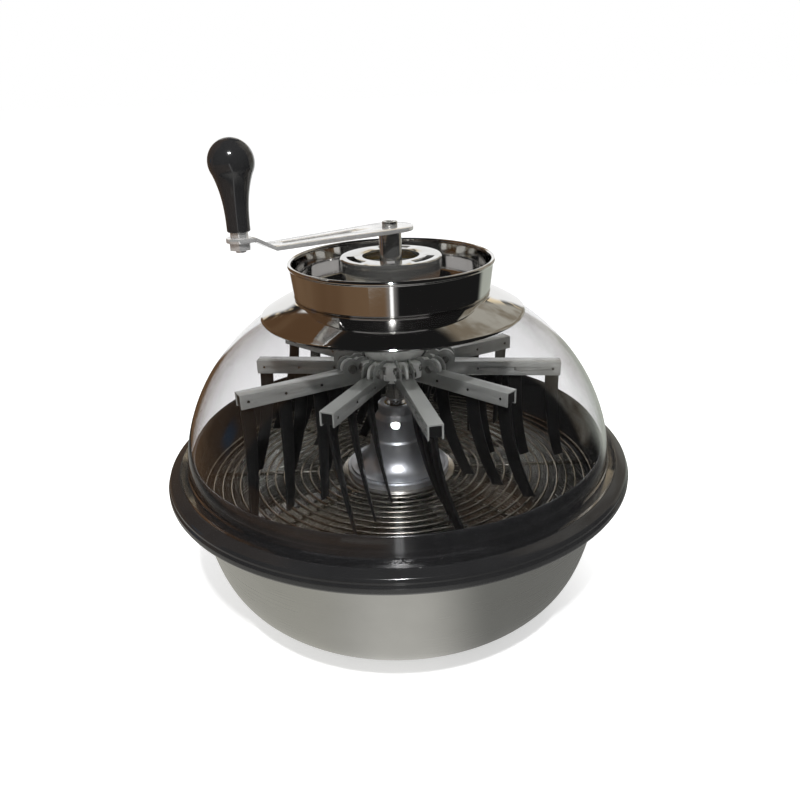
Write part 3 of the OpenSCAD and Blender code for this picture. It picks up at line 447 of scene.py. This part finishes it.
def bowl_wall(u):
    """A point on the outer wall, from the flat foot at 0 to the flange at 1."""
    curl = 1 - (1 - u) ** 5.7
    return bowl_foot_r + wall_lean * u + (bowl_mouth_r - bowl_foot_r - wall_lean) * curl, u * bowl_flange_z


wall_steps = 40
outer = [bowl_wall((i / wall_steps) ** 1.6) for i in range(wall_steps + 1)]
inner = []
for i, (r, z) in enumerate(outer):
    (r0, z0), (r1, z1) = outer[max(i - 1, 0)], outer[min(i + 1, wall_steps)]
    length = math.hypot(r1 - r0, z1 - z0)
    inner.append((r - bowl_gauge * (z1 - z0) / length, z + bowl_gauge * (r1 - r0) / length))
flange = [(208.8, bowl_flange_z), (209.0, 138.0), (208.6, 138.7), (bowl_mouth_r - bowl_gauge, 138.7)]
bowl = lathe("bowl_shell", [(0, 0)] + outer + flange + [p for p in reversed(inner) if p[1] < bowl_flange_z - 1]
             + [(0, bowl_gauge)], spun_steel, steps=192, angle=40)
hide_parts("bowl")
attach(bowl, "bowl")


# ------------------------------------------------------------------ rim ring and its seal
# One moulding in glossy black plastic: a lip outside, a seat for the dome, and
# a collar that stands inside it. A flat rubber ring seals it to the flange.

black_moulding = finish_of("black moulding", (0.012, 0.012, 0.0125), (0.018, 0.018, 0.0185), 0.12, 0.10, size=28,
                           bump=0.04, depth=0.0003, IOR=1.5, Coat_Weight=0.25, Coat_Roughness=0.05)

ring_profile = [
    (187, 122), (194.9, 122), (195.5, 140), (208.3, 140), (209.3, 150.5), (214.5, 148.5), (215.5, 140.5),
    (218.5, 140.5), (220, 143), (220, 147.4), (218.6, 149), (218.6, 151.4), (217, 153.8), (211.8, 156),
    (209, 157), (207.8, 157), (207.8, 156), (197.49, 156), (195.4, 174.5), (194.2, 176), (193.2, 176),
    (192, 174.8), (192, 126), (187, 126)]
rim = lathe("rim_ring_moulding", ring_profile, black_moulding, steps=224, bevel=0.55, angle=12)
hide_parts("rim_ring")
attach(rim, "deck")

seal_rubber = finish_of("seal rubber", (0.022, 0.022, 0.022), (0.045, 0.044, 0.042), 0.55, 0.25, size=60,
                        bump=0.15, depth=0.0002)


def paint_node(name, paint):
    """Gives a CAD node its finish."""
    nodes[name].data.materials.clear()
    nodes[name].data.materials.append(paint)


paint_node("rim_seal", seal_rubber)


# ------------------------------------------------------------------ grate
# Round wires welded over radial rods, with a round plate in the middle that
# the gearbox is screwed to. The wire is bright drawn steel.

wire_steel = finish_of("bright wire", (0.68, 0.65, 0.60), (0.36, 0.33, 0.28), 0.15, 0.20, size=55, metallic=1.0,
                       bump=0.10, depth=0.0002)


def tree_of(name, takes):
    """A geometry tree with named inputs for its sizes."""
    tree = bpy.data.node_groups.new(name, "GeometryNodeTree")
    tree.interface.new_socket("Geometry", in_out="INPUT", socket_type="NodeSocketGeometry")
    ids = {}
    for label, kind in takes:
        ids[label] = tree.interface.new_socket(label, in_out="INPUT", socket_type=kind).identifier
    tree.interface.new_socket("Geometry", in_out="OUTPUT", socket_type="NodeSocketGeometry")
    return tree, ids, tree.nodes.new("NodeGroupInput"), tree.nodes.new("NodeGroupOutput")


def linked(tree, kind, **inputs):
    """Adds a node and links or sets its inputs."""
    node = tree.nodes.new(kind)
    for label, value in inputs.items():
        socket = node.inputs[label.replace("_", " ")]
        if isinstance(value, bpy.types.NodeSocket):
            tree.links.new(value, socket)
        else:
            socket.default_value = value
    return node


def grown(name, mesh, tree, ids, paint, **values):
    """A piece made by a geometry tree, turned into a plain mesh."""
    piece = bpy.data.objects.new(name, mesh or bpy.data.meshes.new(name))
    scene.collection.objects.link(piece)
    growth = piece.modifiers.new("growth", "NODES")
    growth.node_group = tree
    for label, value in values.items():
        growth[ids[label.replace("_", " ")]] = value
    growth[ids["Finish"]] = paint
    piece.data = settled(piece)
    return piece


rings_tree, rings_ids, took, gave = tree_of("Wires in rings", [
    ("Count", "NodeSocketInt"), ("Outer radius", "NodeSocketFloat"), ("Pitch", "NodeSocketFloat"),
    ("Wire radius", "NodeSocketFloat"), ("Height", "NodeSocketFloat"), ("Finish", "NodeSocketMaterial")])
height = linked(rings_tree, "ShaderNodeCombineXYZ", Z=took.outputs["Height"])
line = linked(rings_tree, "GeometryNodeMeshLine", Count=took.outputs["Count"],
              Start_Location=height.outputs[0], Offset=(0, 0, 0))
ring = linked(rings_tree, "GeometryNodeCurvePrimitiveCircle", Resolution=168, Radius=1.0)
order = rings_tree.nodes.new("GeometryNodeInputIndex")
size = math_node(rings_tree, "SUBTRACT", took.outputs["Outer radius"],
                 math_node(rings_tree, "MULTIPLY", order.outputs[0], took.outputs["Pitch"]))
sizes = linked(rings_tree, "ShaderNodeCombineXYZ", X=size, Y=size, Z=1.0)
rings = linked(rings_tree, "GeometryNodeInstanceOnPoints", Points=line.outputs[0], Instance=ring.outputs[0],
               Scale=sizes.outputs[0])
loose = linked(rings_tree, "GeometryNodeRealizeInstances", Geometry=rings.outputs[0])
section = linked(rings_tree, "GeometryNodeCurvePrimitiveCircle", Resolution=10, Radius=took.outputs["Wire radius"])
wires = linked(rings_tree, "GeometryNodeCurveToMesh", Curve=loose.outputs[0], Profile_Curve=section.outputs[0])
smooth = linked(rings_tree, "GeometryNodeSetShadeSmooth", Geometry=wires.outputs[0])
dressed = linked(rings_tree, "GeometryNodeSetMaterial", Geometry=smooth.outputs[0], Material=took.outputs["Finish"])
rings_tree.links.new(dressed.outputs[0], gave.inputs[0])
grate_wires = grown("grate_wires", None, rings_tree, rings_ids, wire_steel, Count=16, Outer_radius=0.1901,
                    Pitch=0.0085, Wire_radius=0.0013, Height=0.131)
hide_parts("grate")
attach(grate_wires, "deck")

round_tree, round_ids, took, gave = tree_of("Round the shaft", [
    ("Count", "NodeSocketInt"), ("First turn", "NodeSocketFloat"), ("Finish", "NodeSocketMaterial")])
line = linked(round_tree, "GeometryNodeMeshLine", Count=took.outputs["Count"], Start_Location=(0, 0, 0),
              Offset=(0, 0, 0))
order = round_tree.nodes.new("GeometryNodeInputIndex")
share = math_node(round_tree, "DIVIDE", math_node(round_tree, "MULTIPLY", order.outputs[0], 2 * math.pi),
                  took.outputs["Count"])
turn = linked(round_tree, "ShaderNodeCombineXYZ", Z=math_node(round_tree, "ADD", share, took.outputs["First turn"]))
copies = linked(round_tree, "GeometryNodeInstanceOnPoints", Points=line.outputs[0], Instance=took.outputs["Geometry"],
                Rotation=turn.outputs[0])
loose = linked(round_tree, "GeometryNodeRealizeInstances", Geometry=copies.outputs[0])
dressed = linked(round_tree, "GeometryNodeSetMaterial", Geometry=loose.outputs[0], Material=took.outputs["Finish"])
round_tree.links.new(dressed.outputs[0], gave.inputs[0])


def skin(work, rows):
    """Joins closed rows of points, each to the next, and caps both ends."""
    count = len(rows[0])
    for low, high in zip(rows, rows[1:]):
        for i in range(count):
            work.faces.new((low[i], low[(i + 1) % count], high[(i + 1) % count], high[i]))
    work.faces.new(list(reversed(rows[0])))
    work.faces.new(rows[-1])


def rod_mesh(name, start, end, radius, sides, bevel):
    """A closed rod between two points in millimetres, with its end edges broken."""
    work = bmesh.new()
    a, b = Vector(start), Vector(end)
    along = (b - a).normalized()
    turn = along.to_track_quat("Z", "Y")
    rows = []
    for middle, r in ((a, radius - bevel), (a + along * bevel, radius), (b - along * bevel, radius),
                      (b, radius - bevel)):
        rows.append([work.verts.new((middle + turn @ Vector((r * math.cos(2 * math.pi * i / sides),
                                                              r * math.sin(2 * math.pi * i / sides), 0))) * MM)
                     for i in range(sides)])
    skin(work, rows)
    return mesh_of(work, name, 50)


def round_shaft(name, mesh, paint, body, count, turn=0.0, instead=()):
    """Copies of one mesh at equal turns round the shaft's axis, as one piece."""
    piece = grown(name, mesh, round_tree, round_ids, paint, Count=count, First_turn=math.radians(turn))
    if instead:
        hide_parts(*instead)
    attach(piece, body)
    return piece


rod_z, rod_end, plate_hole_r, plate_r, plate_top = 128, 191.1, 13.5, 56, 130.5
round_shaft("grate_rods", rod_mesh("grate_rod", (50, 0, rod_z), (rod_end, 0, rod_z), 2.0, 12, 0.3), wire_steel,
            "deck", 8)
middle = lathe("grate_plate", [(plate_hole_r, rod_z), (plate_r, rod_z), (plate_r, plate_top),
                               (plate_hole_r, plate_top)], wire_steel, bevel=0.4)
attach(middle, "deck")


# ------------------------------------------------------------------ gearbox
# A turned steel base and a bell-shaped polished cover, screwed together with
# the grate's plate. Planet gears inside speed up the blades' shaft.

def joined_copy(node, name):
    """A copy of a CAD node's mesh with its loose triangles joined."""
    work = bmesh.new()
    work.from_mesh(nodes[node].data)
    bmesh.ops.remove_doubles(work, verts=work.verts, dist=2e-6)
    bmesh.ops.dissolve_degenerate(work, dist=1e-7, edges=work.edges)
    mesh = bpy.data.meshes.new(name)
    work.to_mesh(mesh)
    work.free()
    if "custom_normal" in mesh.attributes:
        mesh.attributes.remove(mesh.attributes["custom_normal"])
    mesh.materials.clear()
    return mesh


def finished(node, name, paint, body, bevel=0.0, angle=25):
    """A CAD node's shape with smooth curved faces and broken edges."""
    piece = bpy.data.objects.new(name, joined_copy(node, name))
    scene.collection.objects.link(piece)
    piece.data.materials.append(paint)
    soften(piece, bevel, angle, 2)
    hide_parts(node)
    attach(piece, body)
    return piece


mirror_steel = finish_of("mirror polished steel", (0.80, 0.80, 0.79), (0.70, 0.69, 0.67), 0.045, 0.05, size=14,
                         metallic=1.0, bump=0.015, depth=0.0004)
satin_cover = finish_of("satin turned steel", (0.66, 0.68, 0.72), (0.50, 0.52, 0.55), 0.30, 0.10, size=18,
                        metallic=0.86, bump=0.10, depth=0.0002, rings=0.0012)
bright_steel = finish_of("bright turned steel", (0.66, 0.66, 0.65), (0.42, 0.41, 0.39), 0.20, 0.18, size=70,
                         metallic=1.0, bump=0.08, depth=0.0002)
turned_brass = finish_of("turned brass", (0.78, 0.58, 0.26), (0.52, 0.36, 0.15), 0.22, 0.16, size=60, metallic=1.0,
                         bump=0.10, depth=0.0002)

cover_low, cover_h, cover_bore_r, collar_r, bell_steps = 133.5, 68.5, 12, 17.5, 24
bell_top, bell_foot, bell_top_r, bell_foot_r = cover_low + cover_h * 0.49, 138.5, 26.0, 46
bell = []
for i in range(bell_steps, -1, -1):
    u = math.sin(math.pi / 2 * i / bell_steps)
    bell.append((bell_top_r + (bell_foot_r - bell_top_r) * (1 - math.sqrt(max(0, 1 - u * u))),
                 bell_top - (bell_top - bell_foot) * u))
flange = [(35.0, cover_low), (50, cover_low), (50, 136.5), (47, 136.5), (47, bell_foot)]
neck = [(24.2, bell_top + 1.5), (23.6, bell_top + 4), (20.9, 188), (18.1, 192), (collar_r, 193), (collar_r, 201),
        (collar_r - 1, cover_low + cover_h), (cover_bore_r, cover_low + cover_h)]
hollow = [(cover_bore_r, 148.1), (26.3, 148.1), (35.0, 142.4)]
cover = lathe("gearbox_bell", flange + bell + neck + hollow, satin_cover, steps=128, bevel=0.35)
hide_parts("gearbox_cover")
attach(cover, "deck")

finished("gearbox_base", "gearbox_base_disc", satin_cover, "deck", 0.4)
finished("input_shaft", "drive_shaft", mirror_steel, "drive", 0.3)
for name in ("ring_gear", "input_clip", "planet_carrier", "planet_pins", "gearbox_screws"):
    paint_node(name, bright_steel)
for name in ("input_bush_lower", "input_bush_upper", "blade_shaft_bush", "planet_gear_1", "planet_gear_2",
             "planet_gear_3"):
    paint_node(name, turned_brass)


# ------------------------------------------------------------------ blades
# Two flat steel bars, ground to an edge on their leading sides, that a washer
# and a nut clamp on the gearbox's lower shaft.

blade_steel = finish_of("ground blade steel", (0.58, 0.58, 0.58), (0.40, 0.40, 0.39), 0.26, 0.2, size=24,
                        metallic=1.0, bump=0.12, depth=0.0002, rings=0.0016)
for name in ("upper_blade", "lower_blade"):
    paint_node(name, blade_steel)
for name in ("blade_shaft", "blade_spacer", "blade_washer", "blade_nut"):
    paint_node(name, bright_steel)


# ------------------------------------------------------------------ dome
# The clear lid, formed from 3 mm plastic sheet, with a flat foot that sits on
# the ring and a round opening at the top that the cup closes.

clear_dome = bpy.data.materials.new("clear dome plastic")
clear_dome.use_nodes = True
tree = clear_dome.node_tree
tree.nodes.clear()
out, shell, through, pick = (tree.nodes.new("ShaderNodeOutputMaterial"), tree.nodes.new("ShaderNodeBsdfPrincipled"),
                             tree.nodes.new("ShaderNodeBsdfTransparent"), tree.nodes.new("ShaderNodeMixShader"))
shell.inputs["Transmission Weight"].default_value = 1.0
shell.inputs["IOR"].default_value = 1.38
through.inputs["Color"].default_value = (0.90, 0.90, 0.90, 1)
marks = handled(tree, (0.925, 0.925, 0.935), (0.90, 0.90, 0.91), 7, 0.01, 0.02)
tree.links.new(marks["Colour"], shell.inputs["Base Color"])
tree.links.new(marks["Roughness"], shell.inputs["Roughness"])
rays = tree.nodes.new("ShaderNodeLightPath").outputs
tree.links.new(math_node(tree, "MAXIMUM", rays["Is Shadow Ray"], rays["Is Diffuse Ray"]), pick.inputs[0])
tree.links.new(shell.outputs[0], pick.inputs[1])
tree.links.new(through.outputs[0], pick.inputs[2])
tree.links.new(pick.outputs[0], out.inputs[0])

dome_r, dome_rise, dome_sheet, dome_mid_z, dome_mouth_r, dome_foot_h, dome_steps = 201.2, 176, 3, 150.3, 87.5, 6, 48


def dome_face(radius, rise):
    """Points on one face of the dome, from the foot up to the opening."""
    low, high = math.asin(dome_foot_h / rise), math.acos(dome_mouth_r / radius)
    turns = [low + (high - low) * i / dome_steps for i in range(dome_steps + 1)]
    return [(radius * math.cos(a), dome_mid_z + rise * math.sin(a)) for a in turns]


foot_r, foot_low = 207.5, dome_mid_z + dome_foot_h
foot_top = foot_low + dome_sheet
outside, inside = dome_face(dome_r, dome_rise), dome_face(dome_r - dome_sheet, dome_rise - dome_sheet)
dome = lathe("dome_shell", [(foot_r, foot_low), (foot_r, foot_top), (outside[0][0] + 0.3, foot_top)]
             + [p for p in outside if p[1] > foot_top + 1] + inside[::-1], clear_dome, steps=224, angle=30)
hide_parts("dome")
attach(dome, "lid")


# ------------------------------------------------------------------ cup, skirt and their clamp
# A shallow cup and a skirt ring, both spun from stainless sheet and mirror
# polished. A plate inside the dome clamps them with six screws.

def arc(r, z, radius, first, last, step):
    """Points round a centre, between two angles in degrees."""
    return [(r + radius * math.cos(math.radians(a)), z + radius * math.sin(math.radians(a)))
            for a in range(first, last, step)]


cup_low, cup_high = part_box("cup")[0][2] / MM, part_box("cup")[1][2] / MM
hole_r, cup_flat_r, cup_gauge, corner_r, bead_r, bead_mid_r = 28.1, 86.5, 1.5, 2.5, 1.9, 90.8
outside = [(hole_r, cup_low), (cup_flat_r, cup_low)] + arc(cup_flat_r, cup_low + corner_r, corner_r, -75, 1, 15)
wall = [(89.04, cup_low + 3), (91.66, cup_high - 4.2)]
bead = arc(bead_mid_r, cup_high - bead_r, bead_r, -60, 241, 20)
inside = [(89.3, cup_high - 3.7), (87.6, cup_low + 3.7)] + arc(86.1, cup_low + 3.0, 1.5, -15, -91, -15) + [
    (hole_r, cup_low + cup_gauge)]
cup = lathe("cup_shell", outside + wall + bead + inside, mirror_steel, steps=192, angle=35)
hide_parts("cup")
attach(cup, "lid")

skirt_in_r, skirt_wide, skirt_gauge, skirt_steps, collar_in_r = 89, 30.5, 1.5, 16, 86
inner_gap, outer_gap = 1.1, 2.0
under = []
for i in range(skirt_steps + 1):
    r = skirt_in_r + skirt_wide * i / skirt_steps
    dome_z = dome_mid_z + dome_rise * math.sqrt(1 - (r / dome_r) ** 2)
    under.append((r, dome_z + inner_gap + (outer_gap - inner_gap) * (r - skirt_in_r) / skirt_wide))
edge = (skirt_in_r + skirt_wide + 0.4, under[-1][1] + skirt_gauge / 2)
skirt = lathe("skirt_ring", [(collar_in_r, cup_low - skirt_gauge)] + under + [edge]
              + [(r, z + skirt_gauge) for r, z in reversed(under)] + [(collar_in_r, cup_low)], mirror_steel,
              steps=192, angle=35)
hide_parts("skirt")
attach(skirt, "lid")
paint_node("skirt_seal", seal_rubber)

# The aluminium is given a paler tone than the bare metal has. This is painted light: it makes up for the shade that
# the dome and skirt cast on the clamp plate, the bearing barrel, the hub and its fins.
shade_brightened_aluminium = finish_of("cast aluminium brightened for shade", (0.86, 0.87, 0.84), (0.74, 0.75, 0.72), 0.28, 0.10, size=45,
                           metallic=0.2, bump=0.10, depth=0.0002)
clamp_r, clamp_low, clamp_high = 98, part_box("clamp_plate")[0][2] / MM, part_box("clamp_plate")[1][2] / MM
plate = lathe("clamp_disc", [(hole_r, clamp_low), (clamp_r, clamp_low), (clamp_r, clamp_high), (hole_r, clamp_high)],
              shade_brightened_aluminium, bevel=0.4)
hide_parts("clamp_plate")
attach(plate, "lid")
paint_node("clamp_screws", bright_steel)
finished("bearing_housing", "bearing_barrel", shade_brightened_aluminium, "lid", 0.5)


# ------------------------------------------------------------------ boss and bushes
# The polished boss stands in the cup over the bearing. Three kidney slots in
# its top show the dark space inside, and a brass bush carries the shaft.

polished_steel = finish_of("polished turned steel", (0.70, 0.70, 0.69), (0.58, 0.58, 0.56), 0.07, 0.05, size=30,
                           metallic=0.93, bump=0.02, depth=0.0002)
finished("boss", "boss_cap", polished_steel, "lid", 0.5)
finished("shaft_bush_upper", "upper_bush", turned_brass, "lid", 0.4)
paint_node("shaft_bush_lower", turned_brass)


# ------------------------------------------------------------------ shaft, clip and crank
# A polished 20 mm shaft, held up by a spring clip, with a flat crank bolted to
# its top. The crank has a pressed groove and a step near the knob.

finished("crank_shaft", "main_shaft", polished_steel, "rotor", 0.4)
paint_node("shaft_clip", bright_steel)
plated_steel = finish_of("bright plated steel", (0.88, 0.88, 0.88), (0.58, 0.57, 0.55), 0.13, 0.10, size=60,
                         metallic=0.74, bump=0.06, depth=0.0002)
finished("crank_arm", "crank_bar", plated_steel, "rotor", 0.5, 20)
finished("crank_screw", "crank_bolt", bright_steel, "rotor", 0.4)


# ------------------------------------------------------------------ rotor hub and arms
# A cast hub pinned to the shaft. A web joins its core to a round drum, and ten
# thin fins take the arms, which are channels with two lobes at the root.

hub_h, hub_low = 21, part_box("rotor_hub")[0][2] / MM
hub_top = hub_low + hub_h
bore_r, core_r, drum_in_r, drum_r = 10.05, 23, 30.2, 39.2
web_low, web_high, drum_low, drum_top = 240, 244, 237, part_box("bearing_housing")[0][2] / MM + 2.2
core_foot = [(bore_r, hub_low), (core_r - 0.4, hub_low), (core_r, hub_low + 0.4), (core_r, web_low)]
drum = [(drum_in_r, web_low), (drum_in_r + 0.3, drum_low), (drum_r - 2, drum_low), (drum_r - 0.6, drum_low + 1),
        (drum_r, drum_low + 3), (drum_r, drum_top - 1.4), (drum_r - 0.8, drum_top - 0.4), (drum_r - 2.3, drum_top),
        (drum_in_r + 0.8, drum_top), (drum_in_r, drum_top - 0.6), (drum_in_r, web_high)]
core_head = [(core_r, web_high), (core_r, hub_top), (bore_r, hub_top)]
hub = lathe("finger_hub", core_foot + drum + core_head, shade_brightened_aluminium, steps=128, angle=35)
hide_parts("rotor_hub")
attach(hub, "rotor")


def fin_mesh(name, root, foot, near_hole, far_hole, level, lobe, thick):
    """A thin upright fin with a round lobe at each of its two screws, in millimetres."""
    meet = math.degrees(math.acos((far_hole - near_hole) / 2 / lobe))
    low, high = math.degrees(math.asin((foot - level) / lobe)), math.degrees(math.acos((root - near_hole) / lobe))
    outline, arc_steps = [(root, foot)], 12
    for hole, first, last in ((far_hole, low, 180 - meet), (near_hole, meet, high)):
        for i in range(arc_steps + 1):
            turn = math.radians(first + (last - first) * i / arc_steps)
            outline.append((hole + lobe * math.cos(turn), level + lobe * math.sin(turn)))
    work = bmesh.new()
    sides = [[work.verts.new(Vector((r, side * thick / 2, z)) * MM) for r, z in outline] for side in (-1, 1)]
    for i in range(len(outline)):
        j = (i + 1) % len(outline)
        work.faces.new((sides[0][i], sides[0][j], sides[1][j], sides[1][i]))
    work.faces.new(list(reversed(sides[0])))
    work.faces.new(sides[1])
    bmesh.ops.remove_doubles(work, verts=work.verts, dist=1e-6)
    return mesh_of(work, name, 35)


long_turn, arm_count = -7, 10
fin = fin_mesh("hub_fin", root=drum_r - 0.4, foot=hub_top - 4.8, near_hole=37, far_hole=48, level=hub_top - 2.5,
               lobe=8, thick=2.4)
round_shaft("hub_fins", fin, shade_brightened_aluminium, "rotor", arm_count, long_turn)
paint_node("hub_pin", bright_steel)

channel_aluminium = finish_of("extruded aluminium", (0.47, 0.48, 0.46), (0.40, 0.41, 0.395), 0.22, 0.10, size=45,
                              metallic=0.5, bump=0.10, depth=0.0002)
finished("long_arms", "long_arm_channels", channel_aluminium, "rotor", 0.5)
finished("short_arms", "short_arm_channels", channel_aluminium, "rotor", 0.5)
for name in ("arm_screws", "arm_nuts", "finger_pins"):
    paint_node(name, bright_steel)


# ------------------------------------------------------------------ rubber fingers
# Strips of black rubber in three rows. Each has a square head that is pinned
# in its arm, and trails and twists as it sweeps the leaves over the grate.

finger_rubber = finish_of("finger rubber", (0.006, 0.006, 0.006), (0.013, 0.013, 0.013), 0.42, 0.22, size=45,
                          bump=0.10, depth=0.0003, IOR=1.5, Specular_IOR_Level=0.2)


def finger_mesh(name, r):
    """One finger at a radius in millimetres, lofted from its head down to its trailing end."""
    arm_z, top, end, steps = 238.27, 235.77, 136.3, 26
    outward, trail, twist, corner = 13, 24, 35, 0.7
    work = bmesh.new()
    rows = []
    for i in range(steps + 1):
        t = i / steps
        half_wide, half_thick, turned = 6.25 - 0.8 * t, (3.2 - 0.8 * t) / 2, math.radians(twist * t)
        edge = min(corner, half_thick * 0.8)
        row = []
        for sx, sy in ((1, 1), (-1, 1), (-1, -1), (1, -1)):
            for turn in ((0, 45, 90) if sx * sy > 0 else (90, 45, 0)):
                x = sx * (half_wide - edge + edge * math.cos(math.radians(turn)))
                y = sy * (half_thick - edge + edge * math.sin(math.radians(turn)))
                row.append(work.verts.new(Vector((
                    r + outward * t * t + x * math.cos(turned) - y * math.sin(turned),
                    trail * t ** 1.7 + x * math.sin(turned) + y * math.cos(turned),
                    top + (end - top) * t)) * MM))
        rows.append(row)
    skin(work, rows)
    head_long, head_wide, head_high = 12.5, 9.8, 9
    for v in bmesh.ops.create_cube(work, size=1)["verts"]:
        v.co = Vector((r + v.co.x * head_long, v.co.y * head_wide, arm_z + v.co.z * head_high)) * MM
    return mesh_of(work, name, 40)


from_tip, row_gap, short_turn = 7.05, 34, long_turn + 360 / arm_count
for k, row_name in enumerate(("outer_fingers", "middle_fingers", "inner_fingers")):
    for length, tip, turn in (("long", 153.5, long_turn), ("short", 132.0, short_turn)):
        finger = finger_mesh(f"finger_{k}_{length}", tip - from_tip - row_gap * k)
        round_shaft(f"{row_name}_{length}", finger, finger_rubber, "rotor", arm_count // 2, turn,
                    (row_name,))


# ------------------------------------------------------------------ knob
# A moulded black knob with a ball head, free to turn on a steel spindle that
# a collar and a nut hold in the crank's outer end.

head_r, foot_r, knob_h, knob_z = 17.5, 9.0, 68.8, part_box("knob")[0][2] / MM
bore_r, bore_end, stem_steps, ball_steps, crank_len, crank_turn = 4.05, 43, 20, 24, 142, math.radians(215)
centre_z = knob_h - head_r
join_z = centre_z - 0.5 * head_r
join_r = math.sqrt(head_r ** 2 - (centre_z - join_z) ** 2)
stem = [(foot_r + (join_r - foot_r) * (i / stem_steps) ** 2.7, join_z * i / stem_steps)
        for i in range(1, stem_steps)]
low = -math.asin((centre_z - join_z) / head_r)
turns = [low + (math.pi / 2 - low) * i / ball_steps for i in range(ball_steps)]
ball = [(head_r * math.cos(a), centre_z + head_r * math.sin(a)) for a in turns]
grip = [(bore_r, 0), (foot_r - 0.5, 0), (foot_r, 0.6)] + stem + ball + [(0, knob_h), (0, bore_end + 1),
                                                                      (bore_r, bore_end)]
knob = lathe("knob_grip", [(r, knob_z + z) for r, z in grip], black_moulding, steps=96,
             centre=(crank_len * math.cos(crank_turn), crank_len * math.sin(crank_turn)), angle=30)
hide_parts("knob")
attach(knob, "hand_knob")
for name in ("knob_spindle", "knob_collar", "knob_nut"):
    paint_node(name, plated_steel)
